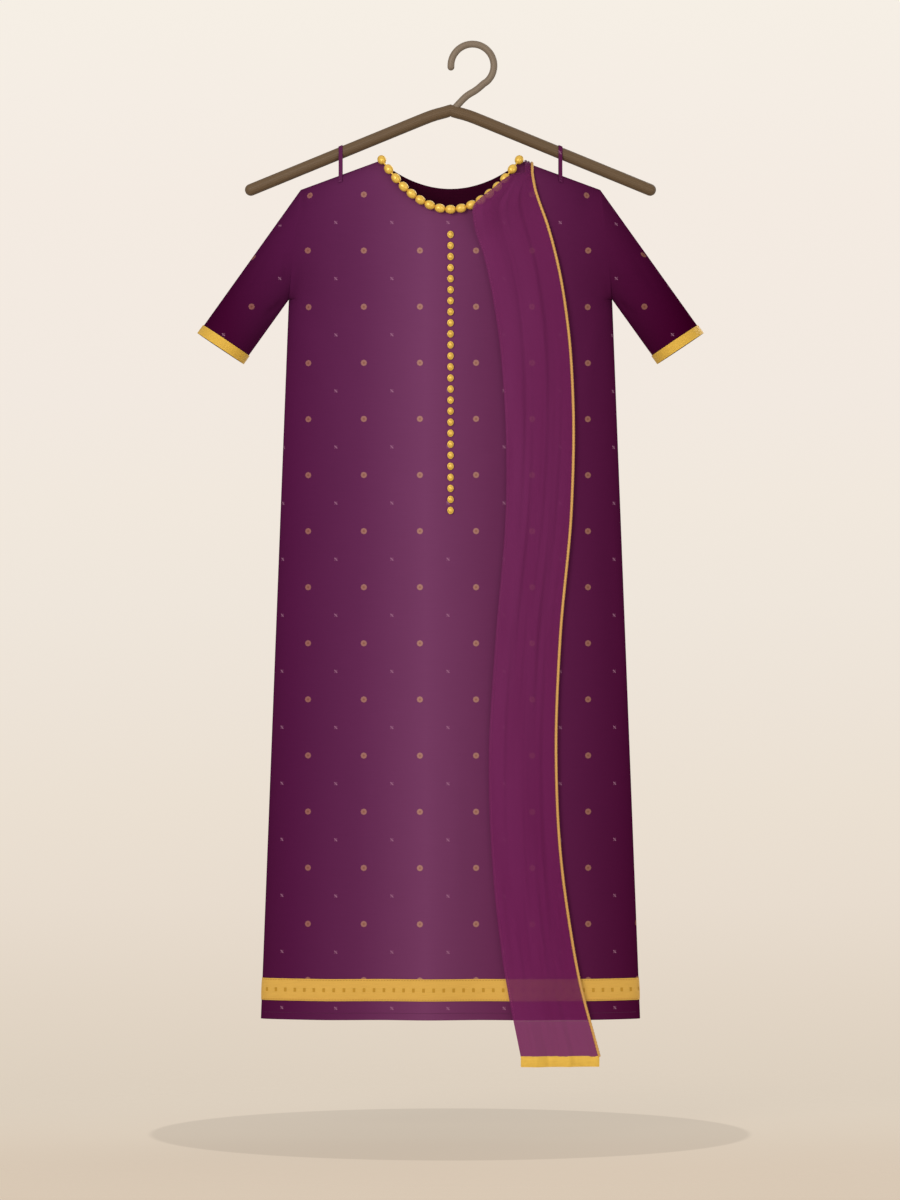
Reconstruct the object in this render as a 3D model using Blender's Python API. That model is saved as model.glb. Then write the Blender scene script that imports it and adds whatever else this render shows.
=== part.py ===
"""A kameez and its dupatta on a wooden hanger, as closed solids in metres, +Z up.

The origin is the inner top of the hanger's hook, where a rail carries it. +X is the viewer's right, and
the front of the garment faces -Y. Left and right are the viewer's.
"""

import math
from collections import namedtuple

import bpy
import numpy as np

# ---------------------------------------------------------------- cloth and seams
SEAM_GAP = 0.00035  # between two pieces at a seam
CLOTH = 0.0014  # wall of the kameez
SHEER = 0.0011  # wall of the dupatta
BORDER = 0.0011  # woven gold borders laid on the kameez
LAID_GAP = 0.0004  # under what lies on a panel

# ---------------------------------------------------------------- kameez, seen flat
CENTRE_X = -0.0286  # the garment's centre line, left of the hook's crown
NECK_HALF = 0.0910
NECK_Z = -0.1470
SHOULDER_HALF = 0.1950
SHOULDER_Z = -0.1853
UNDERARM_HALF = 0.2106
UNDERARM_Z = -0.3283
HEM_HALF = 0.2470
HEM_Z = -1.2643
FRONT_NECK_DROP = 0.0660  # from the neck points to the bottom of the scoop
BACK_NECK_DROP = 0.0350
SHOULDER_SLOPE = (NECK_Z - SHOULDER_Z) / (SHOULDER_HALF - NECK_HALF)

# ---------------------------------------------------------------- kameez, from the side
CHEST_DEPTH = 0.0310  # middle plane to a panel
HEM_DEPTH = 0.0390
SHOULDER_ROLL = 0.0450  # height over which a panel rounds up to the shoulder seam
ARMHOLE_DEPTH = 0.0330
SIDE_POWER = 2.6  # roundness of the skirt towards the side seam
ARMHOLE_POWER = 8.0  # how near the side a panel turns into the armhole
ARMHOLE_BOW = (0.5, 2.0)  # power of the armhole's bow at the seam, and inside it, where it fades softly
BOW_REACH = 0.14  # share of the half width over which the bow softens
ARMHOLE_EASE = 0.0900  # height over which the armhole's shape becomes the side seam's
EASE_ABOVE = 0.0540  # how far above the underarm that starts

ARMHOLE_ROWS = 12
SEAM_EASE = 1  # rounds that even out how the walls thicken round an armhole
ARMHOLE_GAP = 0.00045  # between a sleeve and the body
SKIRT_ROWS = 10
ROW_SPREAD = 1.35  # rows lie closer under the armholes
NECK_COLUMNS = 6  # from the centre line to a neck point
SIDE_COLUMNS = (0.57, 0.68, 0.78, 0.86, 0.92, 0.962, 0.99, 1.0)  # share of the half width

# One soft fold a row: its centre as a share of the half width, its width likewise, how far it
# stands out at the hem, and the height where it starts.
Fold = namedtuple("Fold", "centre width out start")
FRONT_FOLDS = (
    Fold(-0.66, 0.13, 0.0060, -0.62),
    Fold(-0.36, 0.12, -0.0035, -0.74),
    Fold(-0.12, 0.14, 0.0050, -0.66),
    Fold(0.17, 0.12, -0.0040, -0.80),
    Fold(0.44, 0.13, 0.0045, -0.58),
    Fold(0.74, 0.12, 0.0050, -0.70),
)
BACK_FOLDS = (
    Fold(-0.70, 0.13, 0.0055, -0.66),
    Fold(-0.41, 0.13, 0.0050, -0.56),
    Fold(-0.13, 0.12, -0.0040, -0.78),
    Fold(0.15, 0.14, 0.0055, -0.62),
    Fold(0.45, 0.12, -0.0035, -0.72),
    Fold(0.68, 0.13, 0.0060, -0.68),
)

# ---------------------------------------------------------------- sleeves and borders
CUFF_OUTER = (0.3288, -0.3726)  # x and z of the sleeve end's outer corner
CUFF_INNER = (0.2703, -0.4116)
CUFF_DEPTH = 0.0340
CUFF_BAND = 0.0130
SLEEVE_ROWS = 5
HEM_BAND_TOP = -1.2110
HEM_BAND_BOTTOM = -1.2396

# ---------------------------------------------------------------- beads and buttons
BEADS = 17
BEAD_RADIUS = 0.0057
BEAD_THREAD = 0.0019
BEAD_INSET = 0.0060  # from a neck point to the middle of the end bead
BEAD_STEPS = 4  # rings a bead
BEAD_SIDES = 8
NECKLINE_SAMPLES = 400  # to measure along the neckline
BUTTONS = 26
BUTTON_TOP = -0.2454
BUTTON_PITCH = 0.01432
BUTTON_HALF_WIDTH = 0.0041
BUTTON_HALF_HEIGHT = 0.0048
BUTTON_HALF_THICKNESS = 0.0022

# ---------------------------------------------------------------- dupatta
# Its two edges at each height, from the centre line. The right edge is the piped one.
Width = namedtuple("Width", "z left right")
FRONT_STRETCH = (
    Width(-0.1655, 0.0965, 0.1062),
    Width(-0.1740, 0.0725, 0.1072),
    Width(-0.1880, 0.0525, 0.1100),
    Width(-0.2080, 0.0300, 0.1168),
    Width(-0.2250, 0.0295, 0.1230),
    Width(-0.2780, 0.0445, 0.1378),
    Width(-0.3570, 0.0598, 0.1515),
    Width(-0.4640, 0.0702, 0.1591),
    Width(-0.6000, 0.0718, 0.1570),
    Width(-0.7700, 0.0585, 0.1421),
    Width(-0.9200, 0.0500, 0.1368),
    Width(-1.0560, 0.0540, 0.1432),
    Width(-1.1340, 0.0610, 0.1533),
    Width(-1.2110, 0.0715, 0.1668),
    Width(-1.3115, 0.0910, 0.1930),
)
BACK_STRETCH = (
    Width(-0.1655, 0.0965, 0.1062),
    Width(-0.2200, 0.0810, 0.1200),
    Width(-0.3400, 0.0640, 0.1440),
    Width(-0.6000, 0.0520, 0.1500),
    Width(-0.9000, 0.0560, 0.1560),
    Width(-1.1900, 0.0620, 0.1640),
)
GATHER = 0.0050  # thickness of the gathered cloth over the shoulder
GATHER_LIFT = 0.0006
PLEATS = 3  # ridges along the gathered cloth
PLEAT_RELIEF = 0.0007
TOP_LIFT = 0.0024  # of the spread cloth off the kameez, where it leaves the gather
HANG_LIFT = 0.0036
BEAD_LIFT = 0.0102  # more, where it lies over the beads
BEAD_NEAR = 0.0065  # from the neckline, with that lift in full
BEAD_FAR = 0.0500
TOP_GAP = 0.0006  # between the gather's end and the stretch below it
BEAD_RISE = 0.0060  # height below the gather over which that lift begins at the plain edge
BEAD_RISE_WIDE = 0.0300  # and how much more at the piped edge
LIFT_EASE = 0.0500  # height over which the lift grows
FOLD_COUNT = 2.5  # soft folds across the dupatta
FOLD_OUT = 0.0042
FOLD_EASE = 0.1600  # height over which the folds open out
FOLD_SWAY = 0.25  # share by which they deepen and flatten again
FOLD_SWAY_TURN = 4.0  # radians a metre
TOP_ROWS = 8  # rows of points over the first stretch below the gather, and its height
TOP_REACH = 0.0600
FRONT_ROWS = 21
BACK_ROWS = 13
PIPING_RADIUS = 0.0020
PIPING_SIDES = 6
PIPING_INSET = PIPING_RADIUS + 0.0005  # from the piping's centre line to the cloth's edge
END_BAND = 0.0130
END_BAND_THICKNESS = 0.0024
DUPATTA_COLUMNS = 12

# ---------------------------------------------------------------- hanger
ARM_HALF = 0.2600
ARM_APEX_Z = -0.0787
ARM_END_Z = -0.1853
ARM_RADIUS = 0.0078
ARM_SIDES = 12
HOOK_RADIUS = 0.0280  # of the crook's centre line
HOOK_WIRE = 0.00455
HOOK_TIP_DROP = 0.0065  # straight end of the crook
HOOK_END_TURN = -0.27 * math.pi  # where the crook's arc ends, from +X
HOOK_STEPS = 19
HOOK_SIDES = 10
# The rod's centre line below the crook: its neck, then its foot in the wood
RodPoint = namedtuple("RodPoint", "x y z")
HOOK_NECK = (
    RodPoint(0.0354, 0.0, -0.0538),
    RodPoint(0.0237, 0.0, -0.0612),
    RodPoint(0.0180, 0.0, -0.0658),
    RodPoint(0.0115, 0.0, -0.0725),
    RodPoint(0.0055, 0.0, -0.0790),
)
APEX_STEPS = (-0.9, -0.45, 0.0, 0.45, 0.9)  # points of the arms' rounded apex, in radii of an arm
APEX_SOFTENING = 0.18  # how far it is rounded off, in radii
BORE_GAP = 0.0004  # round the hook's foot in the wood
LOOP_X = 0.1430  # a hanging loop, from the centre line
LOOP_WIDTH = 0.0050
LOOP_TAPE = 0.0011
LOOP_GAP = 0.0006  # under the tape, on the cloth and on the arm
LOOP_REACH = 0.0110  # of a loop's ends below the shoulder seam
LOOP_LEAVES = 0.0040  # where it leaves the cloth

# Surface colour, roughness and metallic value of each material
Finish = namedtuple("Finish", "colour roughness metallic")
FINISHES = {
    "plum_cloth": Finish((0.130, 0.020, 0.055), 0.60, 0.0),
    "sheer_cloth": Finish((0.160, 0.018, 0.090), 0.55, 0.0),
    "gold_border": Finish((0.760, 0.450, 0.070), 0.40, 0.3),
    "gold_bead": Finish((0.770, 0.470, 0.070), 0.30, 0.6),
    "wood": Finish((0.160, 0.105, 0.060), 0.50, 0.0),
    "hook_metal": Finish((0.260, 0.190, 0.130), 0.40, 0.5),
}


# ================================================================ curves and surfaces
def smooth(share):
    """0 to 1 with flat ends, for a share from 0 to 1."""
    share = np.clip(share, 0.0, 1.0)
    return share * share * (3.0 - 2.0 * share)


def unit(vectors):
    """The vectors at length 1."""
    return vectors / np.maximum(np.linalg.norm(vectors, axis=-1, keepdims=True), 1e-12)


def spline(heights, values, z):
    """A smooth curve through a table's values, whose heights fall."""
    slopes = np.gradient(values, heights)
    row = np.clip(np.searchsorted(-heights, -z, side="right") - 1, 0, len(heights) - 2)
    step = heights[row + 1] - heights[row]
    t = np.clip((z - heights[row]) / step, 0.0, 1.0)
    start = (1 + 2 * t) * (1 - t) ** 2 * values[row] + t * (1 - t) ** 2 * step * slopes[row]
    end = t * t * (3 - 2 * t) * values[row + 1] + t * t * (t - 1) * step * slopes[row + 1]
    return start + end


def half_width(z):
    """From the centre line to the kameez's side at height z."""
    drops = (-SHOULDER_Z, -UNDERARM_Z, -HEM_Z)
    return np.interp(-z, drops, (SHOULDER_HALF, UNDERARM_HALF, HEM_HALF))


def shoulder_line(x):
    """Height of the shoulder seam at x, carried on above the neck."""
    return NECK_Z - (np.abs(x) - NECK_HALF) * SHOULDER_SLOPE


def neckline(x, drop):
    """Height of a neckline, a parabola through both neck points."""
    return NECK_Z - drop * (1.0 - (x / NECK_HALF) ** 2)


def panel_depth(x, z, folds):
    """From the middle plane to a panel's outer face, at (x, z) from the centre line."""
    across = np.clip(np.abs(x) / half_width(z), 0.0, 1.0)
    hang = smooth((UNDERARM_Z - z) / (UNDERARM_Z - HEM_Z))
    flat = CHEST_DEPTH + (HEM_DEPTH - CHEST_DEPTH) * hang
    below = np.clip((shoulder_line(x) - z) / SHOULDER_ROLL, 0.0, 1.0)
    roll = np.sqrt(1.0 - (1.0 - below) ** 2)
    for fold in folds:
        ridge = np.exp(-(((np.sign(x) * across - fold.centre) / fold.width) ** 2))
        flat = flat + fold.out * ridge * smooth((fold.start - z) / (fold.start - HEM_Z))
    down = np.clip((SHOULDER_Z - z) / (SHOULDER_Z - UNDERARM_Z), 0.0, 1.0)
    bow = ARMHOLE_BOW[0] + (ARMHOLE_BOW[1] - ARMHOLE_BOW[0]) * smooth((1.0 - across) / BOW_REACH)
    armhole = ARMHOLE_DEPTH * (4.0 * down * (1.0 - down)) ** bow * across**ARMHOLE_POWER
    shoulders = flat * roll * (1.0 - across**ARMHOLE_POWER)
    skirt = flat * np.sqrt(1.0 - across**SIDE_POWER)
    falls = smooth((UNDERARM_Z + EASE_ABOVE - z) / ARMHOLE_EASE)
    return armhole + shoulders + (skirt - shoulders) * falls


def normals(grid, wrap):
    """Unit normals of a grid of points, from its rows and columns."""
    along = np.gradient(grid, axis=0)
    if wrap:
        across = np.roll(grid, -1, axis=1) - np.roll(grid, 1, axis=1)
    else:
        across = np.gradient(grid, axis=1)
    return unit(np.cross(across, along))


# ================================================================ solids
def material(name):
    """The named finish as a Principled material, made once."""
    made = bpy.data.materials.get(name)
    if made:
        return made
    finish = FINISHES[name]
    made = bpy.data.materials.new(name)
    made.use_nodes = True
    shader = made.node_tree.nodes["Principled BSDF"]
    shader.inputs["Base Color"].default_value = (*finish.colour, 1.0)
    shader.inputs["Roughness"].default_value = finish.roughness
    shader.inputs["Metallic"].default_value = finish.metallic
    made.diffuse_color = (*finish.colour, 1.0)
    return made


def solid(name, points, faces, finish):
    """One object from points about the centre line, with its faces turned outwards."""
    places = np.asarray(points, dtype=float) + (CENTRE_X, 0.0, 0.0)
    corners = places[np.asarray([face[:3] for face in faces])]
    if np.linalg.det(corners).sum() < 0.0:
        faces = [face[::-1] for face in faces]
    mesh = bpy.data.meshes.new(name)
    mesh.from_pydata(places.tolist(), [], [list(face) for face in faces])
    mesh.validate()
    mesh.shade_smooth()
    mesh.set_sharp_from_angle(angle=math.radians(40))
    mesh.materials.append(material(finish))
    made = bpy.data.objects.new(name, mesh)
    bpy.context.scene.collection.objects.link(made)
    return made


def quads(first, second, wrap):
    """Faces between each pair of neighbours in two rows of point numbers."""
    count = len(first) if wrap else len(first) - 1
    after = [(k + 1) % len(first) for k in range(count)]
    return [(first[k], first[after[k]], second[after[k]], second[k]) for k in range(count)]


def wall(name, outer, inner, finish, wrap=False):
    """A closed cloth wall between two grids of points. A wrapped grid is a tube, open at both ends."""
    rows, columns = outer.shape[:2]
    outside = np.arange(rows * columns).reshape(rows, columns)
    inside = outside + rows * columns
    faces = []
    for row in range(rows - 1):
        faces += quads(outside[row], outside[row + 1], wrap)
        faces += quads(inside[row + 1], inside[row], wrap)
    faces += quads(inside[0], outside[0], wrap)
    faces += quads(outside[-1], inside[-1], wrap)
    if not wrap:
        faces += quads(outside[:, 0], inside[:, 0], False)
        faces += quads(inside[:, -1], outside[:, -1], False)
    return solid(name, np.concatenate([outer.reshape(-1, 3), inner.reshape(-1, 3)]), faces, finish)


def rod(name, path, radii, sides, finish):
    """A round rod along a path, closed at both ends, with a radius for each point of the path."""
    path = np.asarray(path, dtype=float)
    radii = np.broadcast_to(radii, len(path))
    ahead = unit(np.gradient(path, axis=0))
    side = unit(np.cross(ahead[0], (0.0, 1.0, 0.0)))
    turns = np.arange(sides) * 2.0 * math.pi / sides
    rings = []
    for point, direction, radius in zip(path, ahead, radii):
        side = unit(side - direction * np.dot(side, direction))
        other = np.cross(direction, side)
        rings.append(point + radius * (np.outer(np.cos(turns), side) + np.outer(np.sin(turns), other)))
    numbers = np.arange(len(path) * sides).reshape(-1, sides)
    faces = [tuple(numbers[0][::-1]), tuple(numbers[-1])]
    for row in range(len(path) - 1):
        faces += quads(numbers[row], numbers[row + 1], True)
    return solid(name, np.concatenate(rings), faces, finish)


# ================================================================ kameez
def side_heights():
    """Heights of a panel's rows at its side: the armhole's, then the skirt's, with the border's edges."""
    turn = np.linspace(0.0, math.pi, ARMHOLE_ROWS + 1)
    armhole = SHOULDER_Z + (UNDERARM_Z - SHOULDER_Z) * (1.0 - np.cos(turn)) / 2.0
    down = np.linspace(0.0, 1.0, SKIRT_ROWS + 1)[1:] ** ROW_SPREAD
    skirt = UNDERARM_Z + (HEM_BAND_TOP - UNDERARM_Z) * down
    return np.concatenate([armhole, skirt, (HEM_BAND_BOTTOM, HEM_Z)])


def panel_grid(neck_drop, folds, facing):
    """Outer face of a body panel. facing is -1 for the front and 1 for the back."""
    shares = np.linspace(0.0, NECK_HALF / SHOULDER_HALF, NECK_COLUMNS + 1)
    shares = np.concatenate([shares, SIDE_COLUMNS])
    shares = np.concatenate([-shares[:0:-1], shares])
    heights = side_heights()
    at_top = shares * SHOULDER_HALF
    top = np.where(np.abs(at_top) < NECK_HALF, neckline(at_top, neck_drop), shoulder_line(at_top))
    down = np.clip((SHOULDER_Z - heights) / (SHOULDER_Z - UNDERARM_Z), 0.0, 1.0)
    z = heights[:, None] + np.outer((1.0 - down) ** 2, top - SHOULDER_Z)
    x = np.outer(half_width(heights), shares)
    y = facing * (panel_depth(x, z, folds) + SEAM_GAP / 2.0)
    return np.stack([x, y, z], axis=-1)


def sleeve_grid(armhole, hand):
    """Outer face of a sleeve, from its armhole ring to its end. hand is -1 on the left, 1 on the right."""
    turn = np.arange(len(armhole)) * 2.0 * math.pi / len(armhole)
    outer = np.array((hand * CUFF_OUTER[0], 0.0, CUFF_OUTER[1]))
    inner = np.array((hand * CUFF_INNER[0], 0.0, CUFF_INNER[1]))
    cuff = np.outer((1.0 + np.cos(turn)) / 2.0, outer) + np.outer((1.0 - np.cos(turn)) / 2.0, inner)
    cuff[:, 1] = -CUFF_DEPTH * np.sin(turn)
    border = 1.0 - CUFF_BAND / np.linalg.norm(cuff - armhole, axis=-1)
    shares = np.outer(np.linspace(0.0, 1.0, SLEEVE_ROWS), border)
    shares = np.concatenate([shares, np.ones((1, len(turn)))])
    return armhole + shares[:, :, None] * (cuff - armhole)


def seam_directions(body, sleeve, seam, reach):
    """For each point of an armhole: the way both walls thicken, and the way from body to sleeve."""
    inward = unit(body + sleeve)
    for _ in range(SEAM_EASE):
        inward = unit(inward + 0.5 * (np.roll(inward, 1, axis=0) + np.roll(inward, -1, axis=0)))
    along = np.roll(seam, -1, axis=0) - np.roll(seam, 1, axis=0)
    away = unit(np.cross(along, inward))
    return inward, away * np.sign(np.sum(away * reach, axis=-1, keepdims=True))


def kameez():
    """Front, back, sleeves and their borders."""
    panels = {}
    inward = {}
    for facing, drop, folds in ((-1, FRONT_NECK_DROP, FRONT_FOLDS), (1, BACK_NECK_DROP, BACK_FOLDS)):
        panels[facing] = panel_grid(drop, folds, facing)
        inward[facing] = normals(panels[facing], False)
        inward[facing] *= -facing * np.sign(inward[facing][-1, NECK_COLUMNS, 1])
        flatten_seams(inward[facing])
    for hand in (-1, 1):
        sleeve_with_border(hand, panels, inward)
    for facing, side in ((-1, "front"), (1, "back")):
        outer = panels[facing]
        wall(f"kameez_{side}", outer, outer + CLOTH * inward[facing], "plum_cloth")
        border = outer[-3:-1]
        out = inward[facing][-3:-1]
        under = border - LAID_GAP * out
        wall(f"hem_band_{side}", under - BORDER * out, under, "gold_border")


def flatten_seams(inward):
    """Keeps a panel's wall on its own side of the middle plane, along its shoulder and side seams."""
    shoulder = slice(2 * NECK_COLUMNS + len(SIDE_COLUMNS), None)
    inward[0, : len(SIDE_COLUMNS) + 1, 1] = 0.0
    inward[0, shoulder, 1] = 0.0
    inward[ARMHOLE_ROWS:, (0, -1), 1] = 0.0
    inward[:] = unit(inward)


def sleeve_with_border(hand, panels, inward):
    """One sleeve and its gold border, joined to the body along the armhole."""
    column = 0 if hand < 0 else -1
    front = panels[-1][: ARMHOLE_ROWS + 1, column]
    back = panels[1][ARMHOLE_ROWS - 1 : 0 : -1, column]
    armhole = np.concatenate([front, back])
    armhole[(0, ARMHOLE_ROWS), 1] = 0.0
    grid = sleeve_grid(armhole, hand)
    centre = grid.mean(axis=1, keepdims=True)
    sleeve_in = normals(grid, True)
    sleeve_in *= np.sign(np.sum(sleeve_in * (centre - grid), axis=-1, keepdims=True))
    body_front = inward[-1][: ARMHOLE_ROWS + 1, column]
    body_back = inward[1][ARMHOLE_ROWS - 1 : 0 : -1, column]
    body_in = np.concatenate([body_front, body_back])
    reach = grid[-1].mean(axis=0) - armhole.mean(axis=0)
    shared, away = seam_directions(body_in, sleeve_in[0], armhole, reach)
    body_front[:] = shared[: ARMHOLE_ROWS + 1]
    body_back[:] = shared[ARMHOLE_ROWS + 1 :]
    inward[1][(0, ARMHOLE_ROWS), column] = shared[(0, ARMHOLE_ROWS), :]
    sleeve_in[0] = shared
    grid[0] += ARMHOLE_GAP * away
    side = "left" if hand < 0 else "right"
    wall(f"sleeve_{side}", grid, grid + CLOTH * sleeve_in, "plum_cloth", wrap=True)
    under = grid[-2:] - LAID_GAP * sleeve_in[-2:]
    wall(f"cuff_band_{side}", under - BORDER * sleeve_in[-2:], under, "gold_border", wrap=True)


# ================================================================ over the shoulder
def roll_angle(below):
    """The shoulder's roll as an angle, at a distance below the shoulder seam. The seam itself is at 0."""
    return np.arccos(1.0 - below / SHOULDER_ROLL)


def roll_depth(x):
    """How far the shoulder's roll stands off the middle plane where it ends, at x."""
    return CHEST_DEPTH * (1.0 - (np.abs(x) / SHOULDER_HALF) ** ARMHOLE_POWER)


def shoulder_normal(x, angle):
    """The way out of the kameez where it rolls over the shoulder seam."""
    return unit(np.stack([0.0 * x, np.sin(angle) / roll_depth(x), np.cos(angle) / SHOULDER_ROLL], axis=-1))


def over_shoulder(x, angle, lift):
    """Points off the kameez where it rolls over the shoulder seam. The angle is negative on the front."""
    z = shoulder_line(x) - SHOULDER_ROLL * (1.0 - np.cos(angle))
    point = np.stack([x, roll_depth(x) * np.sin(angle), z], axis=-1)
    return point + lift * shoulder_normal(x, angle)


# ================================================================ beads and buttons
def front_surface(x, z, lift):
    """Points at a height over the front panel's outer face, along its own normal."""
    reach = 0.0005
    depth = panel_depth(x, z, FRONT_FOLDS)
    slope_x = (panel_depth(x + reach, z, FRONT_FOLDS) - depth) / reach
    slope_z = (depth - panel_depth(x, z - reach, FRONT_FOLDS)) / reach
    normal = -unit(np.stack([slope_x, np.ones_like(depth), slope_z], axis=-1))
    return np.stack([x, -depth - SEAM_GAP / 2.0, z], axis=-1) + lift * normal


def neck_beads():
    """Seventeen beads on one thread along the front neckline, swelling and narrowing as one string."""
    fine = np.linspace(-NECK_HALF, NECK_HALF, NECKLINE_SAMPLES)
    heights = neckline(fine, FRONT_NECK_DROP)
    length = np.concatenate([[0.0], np.cumsum(np.hypot(np.diff(fine), np.diff(heights)))])
    pitch = (length[-1] - 2.0 * BEAD_INSET) / (BEADS - 1)
    beat = np.linspace(-0.5, BEADS - 0.5, BEADS * BEAD_STEPS + 1)
    x = np.interp(BEAD_INSET + beat * pitch, length, fine)
    swell = np.sqrt(np.abs(np.cos(math.pi * beat)))
    radii = BEAD_THREAD + (BEAD_RADIUS - BEAD_THREAD) * swell
    path = front_surface(x, neckline(x, FRONT_NECK_DROP), BEAD_RADIUS + LAID_GAP)
    rod("neck_beads", path, radii, BEAD_SIDES, "gold_bead")


def buttons():
    """A row of oval buttons down the centre front."""
    for number in range(BUTTONS):
        z = BUTTON_TOP - number * BUTTON_PITCH
        depth = float(panel_depth(np.float64(0.0), np.float64(z), FRONT_FOLDS))
        y = -(depth + SEAM_GAP / 2.0 + LAID_GAP + BUTTON_HALF_THICKNESS)
        bpy.ops.mesh.primitive_uv_sphere_add(segments=8, ring_count=4, radius=1.0)
        button = bpy.context.object
        button.name = f"button_{number + 1:02d}"
        button.data.name = button.name
        button.scale = (BUTTON_HALF_WIDTH, BUTTON_HALF_THICKNESS, BUTTON_HALF_HEIGHT)
        button.location = (CENTRE_X, y, z)
        bpy.ops.object.transform_apply(location=False, rotation=False, scale=True)
        button.data.shade_smooth()
        button.data.materials.append(material("gold_bead"))


# ================================================================ dupatta
def stretch_grid(table, heights, facing, folds, inset=0.0):
    """Inner face of a hanging stretch, off the panel behind it. inset narrows its right edge."""
    tops = np.array([row.z for row in table])
    left = spline(tops, np.array([row.left for row in table]), heights)
    right = spline(tops, np.array([row.right for row in table]), heights) - inset
    share = np.linspace(0.0, 1.0, DUPATTA_COLUMNS + 1)
    x = left[:, None] + np.outer(right - left, share)
    z = np.repeat(heights[:, None], len(share), axis=1)
    depth = panel_depth(x, np.maximum(z, HEM_Z), folds)
    leaving = smooth((table[0].z - z) / LIFT_EASE)
    lift = TOP_LIFT + (HANG_LIFT - TOP_LIFT) * leaving
    if facing < 0:
        slope = 2.0 * FRONT_NECK_DROP * x / NECK_HALF**2
        away = (neckline(x, FRONT_NECK_DROP) - z) / np.sqrt(1.0 + slope**2)
        rise = smooth((table[0].z + TOP_GAP - z) / (BEAD_RISE + BEAD_RISE_WIDE * share))
        lift += BEAD_LIFT * rise * (1.0 - smooth((away - BEAD_NEAR) / (BEAD_FAR - BEAD_NEAR)))
    wave = 0.5 - 0.5 * np.cos(2.0 * math.pi * FOLD_COUNT * share)
    sway = 1.0 - FOLD_SWAY * (1.0 - np.cos(FOLD_SWAY_TURN * z))
    lift += FOLD_OUT * wave * smooth((table[0].z - z) / FOLD_EASE) * sway
    angle = roll_angle(np.clip(shoulder_line(x) - z, 0.0, SHOULDER_ROLL))
    _, out, up = np.moveaxis(shoulder_normal(x, angle), -1, 0)
    return np.stack([x, facing * (depth + SEAM_GAP / 2.0 + lift * out), z + lift * up], axis=-1)


def dupatta():
    """The front stretch, the gather over the shoulder, the back stretch, and their gold trim."""
    piping = []
    for facing, side, table in ((-1, "front", FRONT_STRETCH), (1, "back", BACK_STRETCH)):
        folds = FRONT_FOLDS if facing < 0 else BACK_FOLDS
        top = table[0].z - TOP_GAP
        close = np.linspace(top, top - TOP_REACH, TOP_ROWS)
        rows = FRONT_ROWS if facing < 0 else BACK_ROWS
        heights = np.concatenate([close, np.linspace(top - TOP_REACH, table[-1].z, rows)[1:]])
        inner = stretch_grid(table, heights, facing, folds, inset=PIPING_INSET)
        out = normals(inner, False)
        out *= facing * np.sign(out[:, :, 1:2])
        wall(f"dupatta_{side}", inner + SHEER * out, inner, "sheer_cloth")
        below = table[-1].z - SEAM_GAP - np.array((0.0, END_BAND))
        band = stretch_grid(table, below, facing, folds)
        band[:, :, 1] -= facing * (END_BAND_THICKNESS - SHEER) / 2.0
        front = band + (0.0, facing * END_BAND_THICKNESS, 0.0)
        wall(f"dupatta_end_{side}", front, band, "gold_border")
        heights[-1] += PIPING_RADIUS / 2.0
        edge = stretch_grid(table, heights, facing, folds)[:, -1]
        edge[:, 1] += facing * SHEER / 2.0
        piping.append(edge)
    path = np.concatenate([piping[0][::-1], gather(), piping[1]])
    rod("dupatta_piping", path, PIPING_RADIUS, PIPING_SIDES, "gold_border")


def gather():
    """The cloth gathered over the shoulder, with a ridge a pleat. Gives the piping's path beside it."""
    top = FRONT_STRETCH[0]
    turn = np.linspace(-1.0, 1.0, 11)
    across = np.linspace(top.left, top.right - PIPING_INSET, 2 * PLEATS + 1)
    across, turn = np.meshgrid(across, turn)
    angle = turn * roll_angle(shoulder_line(across) - top.z)
    ridge = PLEAT_RELIEF * np.where(np.arange(across.shape[1]) % 2, 1.0, -1.0)
    inner = over_shoulder(across, angle, GATHER_LIFT)
    outer = over_shoulder(across, angle, GATHER_LIFT + GATHER + ridge[:, None])
    wall("dupatta_shoulder", outer, inner, "sheer_cloth")
    angle = turn[1:-1, 0] * roll_angle(shoulder_line(top.right) - top.z)
    return over_shoulder(np.full_like(angle, top.right), angle, TOP_LIFT + SHEER / 2.0)


# ================================================================ hanger
def arm_height(x):
    """Height of the arms' centre line at x."""
    return ARM_APEX_Z + (ARM_END_Z - ARM_APEX_Z) * np.abs(x) / ARM_HALF


def rounded_end(radius, steps):
    """Distances from a rod's end and radii that round it off."""
    turn = np.linspace(0.12, math.pi / 2.0, steps)
    return radius * (1.0 - np.cos(turn)), radius * np.sin(turn)


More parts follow.
